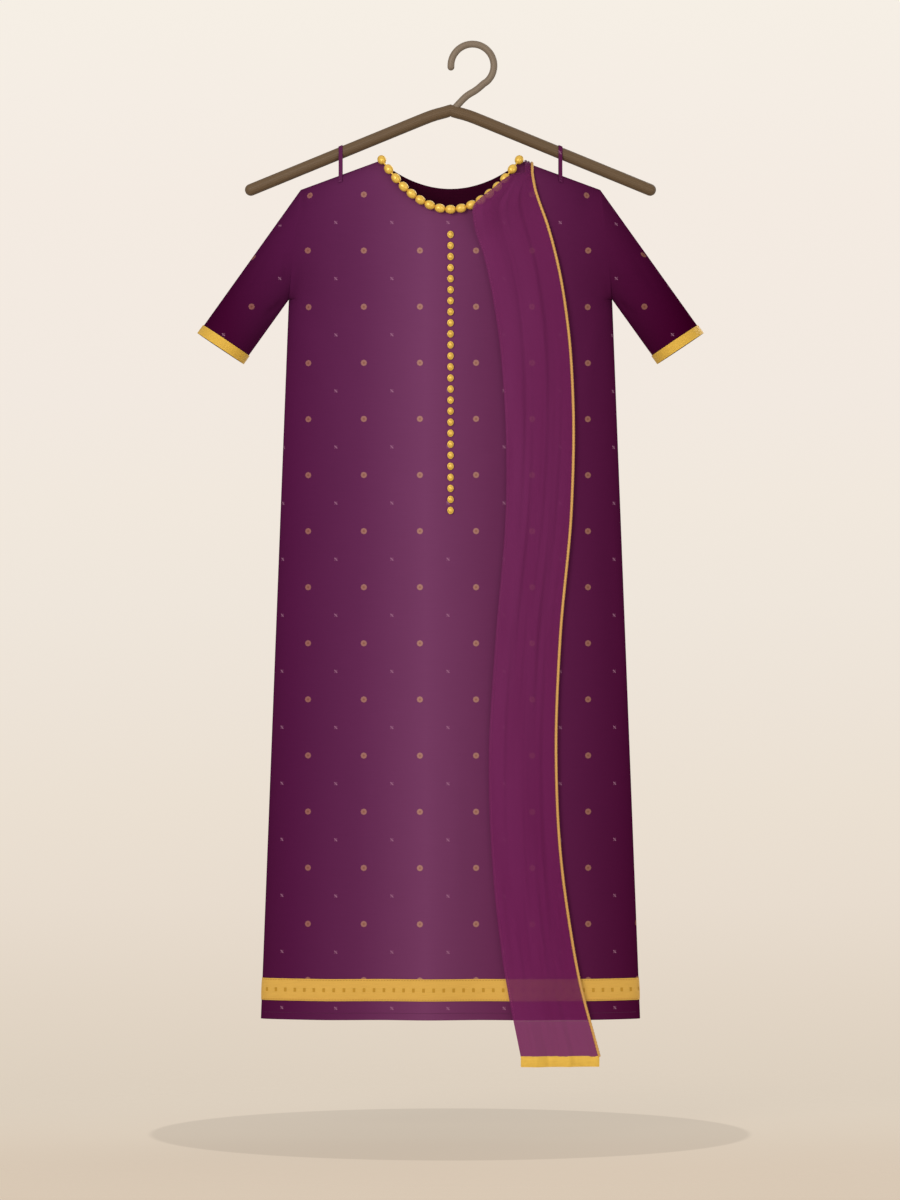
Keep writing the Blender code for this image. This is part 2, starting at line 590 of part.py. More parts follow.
def hanger():
    """The wooden chevron, the hook in its bore, and the loops that carry the kameez."""
    run = np.hypot(ARM_HALF, ARM_END_Z - ARM_APEX_Z)
    into, radii = rounded_end(ARM_RADIUS, 4)
    reach = ARM_HALF + (ARM_RADIUS - into) * ARM_HALF / run
    bend = ARM_RADIUS * np.array(APEX_STEPS)
    x = np.concatenate([-reach, bend, reach[::-1]])
    softened = -ARM_RADIUS * APEX_SOFTENING * (1.0 - (bend / bend[-1]) ** 2)
    z = arm_height(x)
    z[len(reach) : len(reach) + len(bend)] += softened
    sizes = np.concatenate([radii, np.full(len(bend), ARM_RADIUS), radii[::-1]])
    arms = rod("hanger_arms", np.stack([x, 0 * x, z], axis=-1), sizes, ARM_SIDES, "wood")

    crown_z = HOOK_WIRE - HOOK_RADIUS
    turn = np.linspace(math.pi, HOOK_END_TURN, HOOK_STEPS)
    crook = np.outer(np.cos(turn), (1.0, 0.0, 0.0)) + np.outer(np.sin(turn), (0.0, 0.0, 1.0))
    crook = HOOK_RADIUS * crook + (-CENTRE_X, 0.0, crown_z)
    tip = crook[0] - (0.0, 0.0, HOOK_TIP_DROP)
    path = np.array([tip, *crook, *HOOK_NECK])
    rod("hanger_hook", path, HOOK_WIRE, HOOK_SIDES, "hook_metal")
    in_wood = path[-4:] + unit(path[-1] - path[-2]) * BORE_GAP
    bore = rod("hook_bore", in_wood, HOOK_WIRE + BORE_GAP, HOOK_SIDES, "wood")
    bore.hide_render = True
    bore.display_type = "WIRE"
    cut = arms.modifiers.new("bore for the hook", "BOOLEAN")
    cut.object = bore
    cut.operation = "DIFFERENCE"
    for hand, side in ((-1, "left"), (1, "right")):
        hanging_loop(f"hanging_loop_{side}", hand)


def hanging_loop(name, hand):
    """A narrow tape sewn to the front and back below the shoulder seam, and carried over an arm."""
    widths = hand * LOOP_X + LOOP_WIDTH * np.array((-0.5, 0.5))
    rise = ARM_RADIUS * np.hypot(1.0, (ARM_END_Z - ARM_APEX_Z) / ARM_HALF)
    columns = []
    for x in widths:
        angle = -roll_angle(np.linspace(LOOP_REACH, LOOP_LEAVES, 3))
        leg = over_shoulder(np.full_like(angle, x), angle, LOOP_GAP)
        turn = np.linspace(math.pi, 0.5 * math.pi, 5)
        top_y = (ARM_RADIUS + LOOP_GAP) * np.cos(turn)
        top_z = arm_height(x) + (rise + LOOP_GAP) * np.sin(turn)
        half = np.concatenate([leg, np.stack([np.full_like(turn, x), top_y, top_z], axis=-1)])
        columns.append(np.concatenate([half, half[-2::-1] * (1.0, -1.0, 1.0)]))
    inner = np.stack(columns, axis=1)
    out = normals(inner, False)
    out *= np.sign(out[len(out) // 2, 0, 2])
    wall(name, inner + LOOP_TAPE * out, inner, "plum_cloth")


def main():
    """Clears the scene and builds every piece."""
    for old in list(bpy.data.objects):
        bpy.data.objects.remove(old, do_unlink=True)
    kameez()
    neck_beads()
    buttons()
    dupatta()
    hanger()


main()
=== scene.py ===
"""A kameez and its dupatta on a wooden hanger: the cloth, the gold trim and the hanger, ready to be seen.

Metres, +Z up. The origin is the inner top of the hanger's hook, +X is the viewer's right, and the front of
the garment faces -Y. Left and right are the viewer's. Points of the kameez are worked out from its own
centre line and moved to their place as each mesh is made.
"""

import logging
import math
from dataclasses import dataclass, field
from enum import Enum
from typing import Callable, Sequence

import bpy
import numpy as np
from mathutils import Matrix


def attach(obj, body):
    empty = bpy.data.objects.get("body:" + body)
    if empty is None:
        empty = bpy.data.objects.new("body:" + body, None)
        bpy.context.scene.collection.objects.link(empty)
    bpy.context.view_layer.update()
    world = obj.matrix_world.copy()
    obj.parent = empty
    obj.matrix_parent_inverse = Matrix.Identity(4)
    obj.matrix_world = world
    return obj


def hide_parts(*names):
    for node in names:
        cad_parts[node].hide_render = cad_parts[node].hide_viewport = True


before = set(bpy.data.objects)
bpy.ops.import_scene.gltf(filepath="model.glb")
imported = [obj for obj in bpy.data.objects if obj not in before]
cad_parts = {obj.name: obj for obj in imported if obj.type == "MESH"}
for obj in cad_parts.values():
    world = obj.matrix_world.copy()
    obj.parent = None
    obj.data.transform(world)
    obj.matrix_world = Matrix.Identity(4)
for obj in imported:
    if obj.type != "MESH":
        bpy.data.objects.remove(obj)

Array = np.ndarray
Colour = tuple[float, float, float, float]
Triple = tuple[float, float, float]
Material = bpy.types.Material
Thing = bpy.types.Object
LOG = logging.getLogger("kameez")

CENTRE_X = -0.0286  # the garment's centre line, left of the hook's crown
BODY = "root"
CLOTH_MAP = "cloth"  # the map that holds where each point lies in the flat cloth, in metres
TURN = 2.0 * math.pi
ACROSS, DEEP, UP = (1.0, 0.0, 0.0), (0.0, 1.0, 0.0), (0.0, 0.0, 1.0)


# ------------ named choices
class Side(Enum):
    """A side of the garment, as the sign of an axis."""

    @property
    def word(self) -> str:
        """Its name as the pieces' names have it."""
        return self.name.lower()


class Facing(Side):
    """Front and back, as the sign of Y."""

    FRONT = -1
    BACK = 1


class Hand(Side):
    """The viewer's left and right, as the sign of X."""

    LEFT = -1
    RIGHT = 1


class Slot(Enum):
    """Names of the material slots."""

    SILK = "plum_silk"
    BORDER = "gold_border"
    BEAD = "gold_bead"
    SHEER = "sheer_dupatta"
    PIPING = "gold_piping"
    WOOD = "hanger_wood"
    METAL = "hook_metal"


# ------------ curves
def smooth(share: Array) -> Array:
    """Eases a share from 0 to 1: 3 s^2 - 2 s^3, level at both ends and held beyond them."""
    share = np.clip(share, 0.0, 1.0)
    return share * share * (3.0 - 2.0 * share)


def bell(offset: Array) -> Array:
    """A bell curve: e to the minus offset squared."""
    return np.exp(-np.square(offset))


def unit(vectors: Array) -> Array:
    """The vectors, each at length 1."""
    return vectors / np.maximum(np.linalg.norm(vectors, axis=-1, keepdims=True), 1e-12)


def stacked(*parts: Array | float) -> Array:
    """Numbers for each place, side by side: x, y and z, or the two numbers of a map."""
    return np.stack(np.broadcast_arrays(*parts), axis=-1)


def turns(sides: int) -> Array:
    """Even turns round a circle, from 0."""
    return np.arange(sides) * TURN / sides


def cubic(knots: Array, values: Array, at: Array) -> Array:
    """A smooth curve: a cubic between each two knots, whose slopes follow the neighbours.

    Args:
        knots: rising numbers.
        values: a number, or a row of them, for each knot.
        at: where to read the curve, in one row.

    Returns:
        The values there.
    """
    slopes = np.gradient(values, knots, axis=0)
    row = np.clip(np.searchsorted(knots, at, side="right") - 1, 0, len(knots) - 2)
    across = (-1, *[1] * (values.ndim - 1))
    step = (knots[row + 1] - knots[row]).reshape(across)
    t = np.clip((at - knots[row]).reshape(across) / step, 0.0, 1.0)
    start = (1 + 2 * t) * (1 - t) ** 2 * values[row] + t * (1 - t) ** 2 * step * slopes[row]
    end = t * t * (3 - 2 * t) * values[row + 1] + t * t * (t - 1) * step * slopes[row + 1]
    return start + end


def run_of(path: Array) -> Array:
    """The distance of each point of a path from its start, along it."""
    steps = np.linalg.norm(np.diff(path, axis=0), axis=-1)
    return np.concatenate([[0.0], np.cumsum(steps)])


def along(path: Array, run: Array, distances: Array) -> Array:
    """Points, or other rows of three numbers, read off a path at distances from its start."""
    return stacked(*(np.interp(distances, run, column) for column in path.T))


def grid_normals(points: Array, wrap: bool = False) -> Array:
    """Unit normals of a grid of points: the cross product of its column and row directions.

    Args:
        points: rows by columns by 3.
        wrap: whether the last column is followed by the first.

    Returns:
        The normals, rows by columns by 3.
    """
    down = np.gradient(points, axis=0)
    if wrap:
        across = np.roll(points, -1, axis=1) - np.roll(points, 1, axis=1)
    else:
        across = np.gradient(points, axis=1)
    return unit(np.cross(across, down))


def aimed(normals: Array, at: tuple[int, int, int], sign: float) -> Array:
    """All the normals, turned over together where the one at a row, column and axis hasn't the sign."""
    return normals * sign * np.sign(normals[at])


# ------------ meshes
@dataclass
class Patch:
    """Points and faces of a piece before it becomes an object.

    Attributes:
        points: one point a row, from the garment's centre line.
        quads: four point numbers a row.
        cloth: where each point lies in the flat cloth, in metres, two numbers a row.
        tris: three point numbers a row, at poles only.
        inside: how many of the last quads are the cloth's wrong side.
    """

    points: Array
    quads: Array
    cloth: Array
    tris: Array = field(default_factory=lambda: np.empty((0, 3), dtype=int))
    inside: int = 0

    def outwards(self) -> "Patch":
        """Turns the faces outwards, judged by the volume that they close.

        Returns:
            This patch.
        """
        corners = np.concatenate([self.quads[:, :3], self.quads[:, [0, 2, 3]], self.tris])
        if np.linalg.det(self.points[corners]).sum() < 0.0:
            self.quads = self.quads[:, ::-1]
            self.tris = self.tris[:, ::-1]
        return self


def lattice(rows: int, columns: int, wrap: bool = False) -> Array:
    """Quads between neighbouring points of a grid that is numbered row by row.

    Args:
        rows: of the grid.
        columns: of the grid.
        wrap: whether the last column is followed by the first.

    Returns:
        Four point numbers a row.
    """
    numbers = np.arange(rows * columns).reshape(rows, columns)
    if wrap:
        numbers = np.concatenate([numbers, numbers[:, :1]], axis=1)
    corners = (numbers[:-1, :-1], numbers[:-1, 1:], numbers[1:, 1:], numbers[1:, :-1])
    return np.stack(corners, axis=-1).reshape(-1, 4)


def shell(outer: Array, inner: Array, cloth: Array, wrap: bool = False) -> Patch:
    """A closed wall of cloth: an outer and an inner face on one grid, and a rim round each open edge.

    Args:
        outer: the right side's points, rows by columns by 3.
        inner: the wrong side's points, on the same grid.
        cloth: each point's place in the flat cloth, rows by columns by 2.
        wrap: whether the grid is a tube, open at its first and last rows.

    Returns:
        The wall, with its wrong side last among the quads.
    """
    rows, columns = outer.shape[:2]
    count = rows * columns
    numbers = np.arange(count).reshape(rows, columns)
    if wrap:
        edges = [numbers[0], numbers[-1, ::-1]]
    else:
        edges = [np.concatenate([numbers[0], numbers[1:, -1], numbers[-1, -2::-1], numbers[-2:0:-1, 0]])]
    rims = [stacked(np.roll(edge, -1), edge, edge + count, np.roll(edge, -1) + count) for edge in edges]
    face = lattice(rows, columns, wrap)
    points = np.concatenate([outer.reshape(-1, 3), inner.reshape(-1, 3)])
    quads = np.concatenate([face, *rims, face[:, ::-1] + count])
    flat = np.tile(cloth.reshape(-1, 2), (2, 1))
    return Patch(points, quads, flat, inside=len(face)).outwards()


def rings(grid: Array, cloth: Array, start: Array, end: Array) -> Patch:
    """A closed tube through rings of points, with a pole at each end.

    Args:
        grid: rings by sides by 3.
        cloth: each point's place on the unrolled surface, rings by sides by 2.
        start: the pole before the first ring.
        end: the pole after the last ring.

    Returns:
        The tube.
    """
    count, sides = grid.shape[:2]
    points = np.concatenate([grid.reshape(-1, 3), [start, end]])
    flat = np.concatenate([cloth.reshape(-1, 2), [cloth[0, 0], cloth[-1, 0]]])
    first = np.arange(sides)
    last = first + (count - 1) * sides
    top = stacked(np.roll(first, -1), first, count * sides)
    foot = stacked(last, np.roll(last, -1), count * sides + 1)
    return Patch(points, lattice(count, sides, True), flat, np.concatenate([top, foot])).outwards()


def carried(path: Array, radii: Array, sides: int, reference: Triple, relief: Array | float = 0.0) -> Patch:
    """A round section carried along a path: path + radius (cos turn * side + sin turn * up).

    Args:
        path: the section's centres, one a row.
        radii: its radius at each of them, or one for all.
        sides: points round the section.
        reference: a direction that the path never follows.
        relief: added to the radius, rows by sides.

    Returns:
        The tube, closed by a pole at each end.
    """
    ahead = unit(np.gradient(path, axis=0))
    side = unit(np.cross(ahead, reference))
    up = np.cross(side, ahead)
    turn = turns(sides)
    radius = (np.broadcast_to(radii, len(path))[:, None] + relief)[..., None]
    spokes = np.cos(turn)[:, None] * side[:, None] + np.sin(turn)[:, None] * up[:, None]
    flat = stacked(run_of(path)[:, None], turn * np.max(radii))
    return rings(path[:, None] + radius * spokes, flat, path[0], path[-1])


def turned(radii: Array, heights: Array, sides: int) -> Patch:
    """A profile turned round the Z axis: radius cos turn, radius sin turn, height.

    Args:
        radii: the profile's distance from the axis, point by point.
        heights: its heights.
        sides: points round the axis.

    Returns:
        The solid, closed by a pole at each end of the profile.
    """
    turn = turns(sides)
    radius, height = radii[:, None], heights[:, None]
    grid = stacked(radius * np.cos(turn), radius * np.sin(turn), height)
    flat = stacked(turn * radii.max(), height)
    return rings(grid, flat, heights[0] * np.array(UP), heights[-1] * np.array(UP))


def copies(template: Patch, places: Array, axes: Array) -> Patch:
    """The same small piece many times: place + x * axis 0 + y * axis 1 + z * axis 2.

    Args:
        template: the piece about its own origin.
        places: where each copy's origin goes, one a row.
        axes: each copy's three axes, places by 3 by 3.

    Returns:
        All the copies in one patch.
    """
    points = places[:, None] + template.points @ axes
    step = len(template.points) * np.arange(len(places))[:, None, None]
    return Patch(
        points.reshape(-1, 3),
        (template.quads + step).reshape(-1, 4),
        np.tile(template.cloth, (len(places), 1)),
        (template.tris + step).reshape(-1, 3),
    ).outwards()


def joined(patches: Sequence[Patch]) -> Patch:
    """Several patches in one. None of them has a wrong side.

    Args:
        patches: the patches.

    Returns:
        Their points and faces together.
    """
    starts = np.cumsum([0] + [len(patch.points) for patch in patches[:-1]])
    return Patch(
        np.concatenate([patch.points for patch in patches]),
        np.concatenate([patch.quads + start for patch, start in zip(patches, starts)]),
        np.concatenate([patch.cloth for patch in patches]),
        np.concatenate([patch.tris + start for patch, start in zip(patches, starts)]),
    )


def piece(
    name: str,
    patch: Patch,
    finish: Sequence[Material],
    stands_for: Sequence[str] = (),
    crease_angle: float = 50.0,
) -> Thing:
    """Makes a patch an object that rides on the garment's body.

    Args:
        name: the object's name.
        patch: its points and faces, from the garment's centre line.
        finish: its material, and a second one for its wrong side.
        stands_for: the solids that it takes the place of.
        crease_angle: edges sharper than this many degrees stay sharp.

    Returns:
        The object, at the origin with its place in its mesh.
    """
    mesh = bpy.data.meshes.new(name)
    corners = np.concatenate([patch.quads.ravel(), patch.tris.ravel()])
    sizes = np.repeat((4, 3), (len(patch.quads), len(patch.tris)))
    mesh.vertices.add(len(patch.points))
    mesh.vertices.foreach_set("co", (patch.points + (CENTRE_X, 0.0, 0.0)).ravel())
    mesh.loops.add(len(corners))
    mesh.loops.foreach_set("vertex_index", corners)
    mesh.polygons.add(len(sizes))
    mesh.polygons.foreach_set("loop_start", np.cumsum(sizes) - sizes)
    order = np.zeros(len(sizes), dtype=int)
    if len(finish) > 1:
        order[len(patch.quads) - patch.inside : len(patch.quads)] = 1
    mesh.polygons.foreach_set("material_index", order)
    mesh.uv_layers.new(name=CLOTH_MAP).data.foreach_set("uv", patch.cloth[corners].ravel())
    mesh.update(calc_edges=True)
    mesh.validate()
    mesh.shade_smooth()
    mesh.set_sharp_from_angle(angle=math.radians(crease_angle))
    for material in finish:
        mesh.materials.append(material)
    made = bpy.data.objects.new(name, mesh)
    bpy.context.scene.collection.objects.link(made)
    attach(made, BODY)
    if stands_for:
        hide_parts(*stands_for)
    LOG.info("%s: %d faces", name, len(sizes))
    return made


# ------------ finishes
def tone(code: str) -> Colour:
    """Changes a written colour into what a shader takes.

    Args:
        code: six hexadecimal digits.

    Returns:
        Linear red, green and blue, and an opacity of one.
    """
    share = np.array([int(code[k : k + 2], 16) for k in (0, 2, 4)]) / 255.0
    flat = np.where(share <= 0.04045, share / 12.92, ((share + 0.055) / 1.055) ** 2.4)
    return (*flat.tolist(), 1.0)


def math_step(operation: str) -> Callable[..., "Value"]:
    """A method of Value that adds one Math node.

    Args:
        operation: what the node does.

    Returns:
        The method. It may take one more value or plain number.
    """

    def method(value: "Value", *other: "Value | float") -> "Value":
        """The node's result."""
        return value.graph.node("Math", dict(enumerate((value, *other))), operation=operation)

    return method


@dataclass(frozen=True, eq=False)
class Value:
    """A number, colour or vector that a shader works out. Each sign or call adds its node."""

    graph: "Graph"
    socket: bpy.types.NodeSocket

    __add__ = math_step("ADD")
    __sub__ = math_step("SUBTRACT")
    __mul__ = math_step("MULTIPLY")
    __truediv__ = math_step("DIVIDE")
    __pow__ = math_step("POWER")
    __abs__ = math_step("ABSOLUTE")
    sine = math_step("SINE")
    cosine = math_step("COSINE")
    angle = math_step("ARCTAN2")
    fraction = math_step("FRACT")
    smaller = math_step("MINIMUM")
    larger = math_step("MAXIMUM")

    def parts(self) -> list["Value"]:
        """The three numbers of a vector."""
        split = self.graph.node("SeparateXYZ", {0: self})
        return [Value(self.graph, output) for output in split.socket.node.outputs]

    def times(self, by: Triple) -> "Value":
        """This vector or colour, each part of it times its own number."""
        return self.graph.node("VectorMath", {0: self, 1: by}, operation="MULTIPLY")

    def dimmed(self, share: float) -> "Value":
        """This colour, all of it times one number."""
        return self.times((share, share, share))

    def far(self, other: "Value") -> "Value":
        """The distance of this and another number from nothing: the root of the sum of their squares."""
        return (self**2.0 + other**2.0) ** 0.5

    def off_row(self, first: float, pitch: float) -> "Value":
        """How far a number lies from the nearest one of an even row."""
        return (((self - first) / pitch + 0.5).fraction() - 0.5) * pitch

    def ridges(self) -> "Value":
        """Even ridges from 0 to 1 by the sine of this number."""
        return self.sine() * 0.5 + 0.5

    def woven(self, across: float, up: float, height: float = 1.0) -> "Value":
        """Warp and weft over this vector: the product of two rows of ridges at these pitches, round 0.5."""
        u, v, _ = self.times((TURN / across, TURN / up, 1.0)).parts()
        return u.sine() * v.sine() * height + 0.5

    def noise(self, grains: Triple, detail: float) -> "Value":
        """Soft irregular noise from 0 to 1 over this vector, with so many grains a metre along each axis."""
        return self.graph.node("TexNoise", {"Vector": self.times(grains), "Scale": 1.0, "Detail": detail})

    def step(self, low: float, high: float, start: float = 0.0, end: "Value | float" = 1.0) -> "Value":
        """A smooth step from start to end as this number goes from low to high."""
        given = dict(enumerate((self, low, high, start, end)))
        return self.graph.node("MapRange", given, interpolation_type="SMOOTHSTEP")

    def ramp(self, codes: str) -> "Value":
        """A colour read off a row of them as this number goes from 0 to 1.

        Args:
            codes: the colours, evenly spaced, as tone() takes them.

        Returns:
            The colour.
        """
        made = self.graph.node("ValToRGB", {0: self})
        stops = codes.split()
        held = made.socket.node.color_ramp.elements
        for number in range(1, len(stops) - 1):
            held.new(number / (len(stops) - 1))
        for element, code in zip(held, stops):
            element.color = tone(code)
        return made


class Graph:
    """A shader's node tree, built up by short calls."""

    def __init__(self, tree: bpy.types.NodeTree) -> None:
        """Takes the tree to build in."""
        self.tree = tree

    def put(self, socket: bpy.types.NodeSocket, given: Value | str | float | Triple | Colour) -> None:
        """Links a value to a socket, or sets the socket.

        Args:
            socket: what takes it.
            given: a value to link, a colour's code, or what the socket is set to.
        """
        if isinstance(given, Value):
            self.tree.links.new(given.socket, socket)
        else:
            socket.default_value = tone(given) if isinstance(given, str) else given

    def node(
        self, kind: str, given: dict[int | str, object], output: int | str = 0, **settings: str
    ) -> Value:
        """A new node.

        Args:
            kind: its type, without ShaderNode before it.
            given: what its sockets take, by name or number.
            output: which of its outputs is wanted.
            settings: its settings.

        Returns:
            The output.
        """
        made = self.tree.nodes.new("ShaderNode" + kind)
        for name, value in settings.items():
            setattr(made, name, value)
        for name, value in given.items():
            self.put(made.inputs[name], value)
        return Value(self, made.outputs[output])

    def mix(self, share: Value | float, first: Value | str, second: Value | str) -> Value:
        """A colour between two, by a share."""
        return self.node("Mix", {0: share, 6: first, 7: second}, 2, data_type="RGBA")


class Recipe(Graph):
    """A Principled material, and where its colour and relief come from."""

    def __init__(self, name: str, colour: str, roughness: float, **uniform: float | str) -> None:
        """Starts the material.

        Args:
            name: the material's name.
            colour: its plain colour, until finished() links another.
            roughness: its plain roughness.
            uniform: other shader values that are the same all over, with _ for each space.
        """
        self.material = bpy.data.materials.new(name)
        self.material.use_nodes = True
        self.material.diffuse_color = tone(colour)
        super().__init__(self.material.node_tree)
        self.set(Base_Color=colour, Roughness=roughness, **uniform)

    def set(self, **values: Value | float | str) -> None:
        """Gives the shader's sockets values, named with _ for each space."""
        for words, value in values.items():
            self.put(self.tree.nodes["Principled BSDF"].inputs[words.replace("_", " ")], value)

    def flat(self) -> Value:
        """Where the point lies in the flat cloth, in metres."""
        return self.node("UVMap", {}, uv_map=CLOTH_MAP)

    def place(self) -> Value:
        """Where the point lies in the object, in metres."""
        return self.node("TexCoord", {}, "Object")

    def finished(self, colour: Value, *reliefs: tuple[Value, float]) -> Material:
        """Links the colour and raises the surface.

        Args:
            colour: the colour.
            reliefs: numbers from 0 to 1, each with its height in metres.

        Returns:
            The material.
        """
        normal = {}
        for height, distance in reliefs:
            normal = {"Normal": self.node("Bump", {"Height": height, "Distance": distance, **normal})}
        self.set(Base_Color=colour, **normal)
        return self.material


@dataclass(frozen=True)
class PlumSilk:
    """Plum silk with small woven gold motifs, with a painted sheen lightest a little left of the centre line
    and painted shade darker towards both sides.

    Attributes:
        light_x: where the painted sheen makes the cloth lightest, across the garment.
        reach: from there to where the painted shade makes it darkest, on either side.
        tones: the cloth's colours with its painted sheen and shade, from the left end of that reach to the
            right end, evenly spaced.
        golds: the motifs' colours with the same painted sheen and shade.
        pitch: between motifs, across and down.
        motif: where one motif lies in the flat cloth.
        sprig: where one of the small sprigs between the motifs lies.
        dot: radius of a motif.
        petals: round a motif's edge, and how far each stands out.
        core: radius of its duller middle.
        dull: what the middle's colour is multiplied by.
        leaf: half length and half width of a sprig's leaf.
        thread: between two threads of the weave.
        slubs: thick places in the threads, a metre along and across them.
        clouds: broad uneven patches, a metre along and across the threads.
    """

    # painted sheen and shade: where the cloth is lightest, how far it darkens on each side, and its colours
    # along the way
    light_x: float = -0.0610
    reach: float = 0.3440
    tones: str = "2b001a 3e082b 511840 60284f 723a60 642c50 571d43 480f33 35001e"
    golds: str = "72443a 8c5853 a5766b 8f6055 794a3f"
    pitch: float = 0.0728
    motif: tuple[float, float] = (-0.21385, -0.19331)
    sprig: tuple[float, float] = (-0.25025, -0.22971)
    dot: float = 0.0040
    petals: tuple[float, float] = (8.0, 0.00014)
    core: float = 0.0013
    dull: Triple = (0.74, 0.70, 0.56)
    leaf: tuple[float, float] = (0.0014, 0.0008)
    thread: float = 0.00042
    slubs: Triple = (26.0, 900.0, 1.0)
    clouds: Triple = (9.0, 5.0, 1.0)

    def right_side(self) -> Material:
        """Makes the side that shows, with motifs, weave, slubs, uneven patches and a painted sheen and shade
        across the garment.

        Returns:
            Its material.
        """
        recipe = Recipe("plum silk", "723a60", 0.50, Specular_IOR_Level=0.0)
        flat = recipe.flat()
        # painted sheen and shade: silk and motifs lightest a little left of the centre line and darker
        # towards both sides, by the place across
        share = (recipe.place().parts()[0] - self.light_x) * (0.5 / self.reach) + 0.5
        silk, gold = share.ramp(self.tones), share.ramp(self.golds)
        slubs = flat.noise(self.slubs, 3.0)
        uneven = slubs.step(0.3, 0.75) + flat.noise(self.clouds, 2.0).step(0.25, 0.8)
        silk = recipe.mix(uneven * 0.09, silk, silk.dimmed(0.62))
        across, up = self.off_lattice(flat, self.motif)
        radius = across.far(up)
        count, out = self.petals
        edge = radius - (up.angle(across) * count).cosine() * out
        dot = edge.step(self.dot + 0.0002, self.dot - 0.0004)
        core = radius.step(self.core + 0.0005, self.core - 0.0003)
        sprigs = self.sprigs(flat)
        silk = recipe.mix(dot * 0.97, silk, recipe.mix(core, gold, gold.times(self.dull)))
        silk = recipe.mix(sprigs * 0.42, silk, "c08aa4")
        motifs = dot + sprigs * 0.6
        return recipe.finished(silk, (motifs, 0.00025), (slubs, 0.00006), (self.weave(flat), 0.00002))

    def off_lattice(self, flat: Value, origin: tuple[float, float]) -> list[Value]:
        """How far a point lies from the nearest point of a square lattice, in metres, across and up."""
        return [part.off_row(first, self.pitch) for part, first in zip(flat.parts(), origin)]

    def sprigs(self, flat: Value) -> Value:
        """Two tiny leaves on a slant, and a fainter pair across them, half way between four motifs.

        A leaf is an ellipse beside the sprig's middle: ((long - half) / half)^2 + (wide / half)^2.

        Args:
            flat: the place in the flat cloth.

        Returns:
            1 on a leaf of the first pair, less on the second, and 0 elsewhere.
        """
        across, up = self.off_lattice(flat, self.sprig)
        slant, side = (across - up) * 0.5**0.5, (across + up) * 0.5**0.5
        long, wide = self.leaf
        pair, fainter = (
            (((abs(ahead) - long) / long) ** 2.0 + (beside / wide) ** 2.0).step(1.3, 0.5)
            for ahead, beside in ((slant, side), (side, slant))
        )
        return pair.larger(fainter * 0.4)

    def weave(self, flat: Value) -> Value:
        """Warp and weft, a thread apart."""
        return flat.woven(2.0 * self.thread, 2.0 * self.thread)

    def wrong_side(self) -> Material:
        """Makes the inside: the same cloth, dull, and near black with painted shade for the shadow within the
        garment, with slubs and weave alone.

        Returns:
            Its material.
        """
        # painted shade: the inside is made near black for the shadow within the garment, darker than the real
        # wrong side's dullness
        recipe = Recipe("plum silk, wrong side", "33001c", 0.75, Specular_IOR_Level=0.04)
        flat = recipe.flat()
        slubs = flat.noise(self.slubs, 3.0)
        colour = recipe.mix(slubs, "2a0014", "3b0321")
        return recipe.finished(colour, (slubs, 0.00010), (self.weave(flat), 0.00004))


@dataclass(frozen=True)
class GoldBorder:
    """Woven gold border, ribbed across, with small dark squares along its middle where it is wide.

    Attributes:
        first: where one of the squares lies across the cloth.
        middle: the height of the squares' row in the flat cloth.
        square: a square's half width and half height.
        pitch: between squares.
        rib: between the cloth's fine ribs, across and up.
    """

    first: float = -0.2716
    middle: float = -1.2255
    square: tuple[float, float] = (0.0017, 0.0025)
    pitch: float = 0.0130
    rib: tuple[float, float] = (0.00090, 0.00054)

    def material(self, name: str, squares: bool, colour: str) -> Material:
        """The border's material.

        Args:
            name: the material's name.
            squares: whether the row of squares is woven in.
            colour: the gold's tone.

        Returns:
            The material.
        """
        recipe = Recipe(name, colour, 0.48, Metallic=0.12, Specular_IOR_Level=0.2)
        flat = recipe.flat()
        weave = flat.woven(*self.rib, 0.5)
        uneven = flat.noise((60.0, 900.0, 1.0), 2.0)
        gold = recipe.mix(uneven.step(0.3, 0.8, 0.0, 0.22), colour, "b98530")
        gold = recipe.mix(weave * 0.16, gold, "f3cf7e")
        reliefs = [(weave, 0.00012), (uneven, 0.00008)]
        if squares:
            u, v, _ = flat.parts()
            offsets = (u.off_row(self.first, self.pitch), v - self.middle)
            sizes = zip(offsets, self.square)
            across, up = (abs(off).step(half + 0.0002, half - 0.0002) for off, half in sizes)
            gold = recipe.mix(across * up, gold, "bd8b27")
            reliefs.append((across * up * -1.0 + 1.0, 0.0003))
        return recipe.finished(gold, *reliefs)


@dataclass(frozen=True)
class GoldMetal:
    """Gilt brass, softly polished, a little uneven and darker in its hollows."""

    colour: str = "eabc4c"
    roughness: float = 0.36

    def material(self) -> Material:
        """Mixes the gilt's look.

        Returns:
            Its material.
        """
        recipe = Recipe("gilt", self.colour, self.roughness, Metallic=0.25, Specular_IOR_Level=0.5)
        fine = recipe.place().noise((900.0, 900.0, 900.0), 3.0)
        broad = recipe.place().noise((160.0, 160.0, 160.0), 2.0)
        colour = recipe.mix(broad.step(0.35, 0.8, 0.0, 0.35), self.colour, "cf9733")
        return recipe.finished(colour, (fine, 0.00006), (broad, 0.0002))


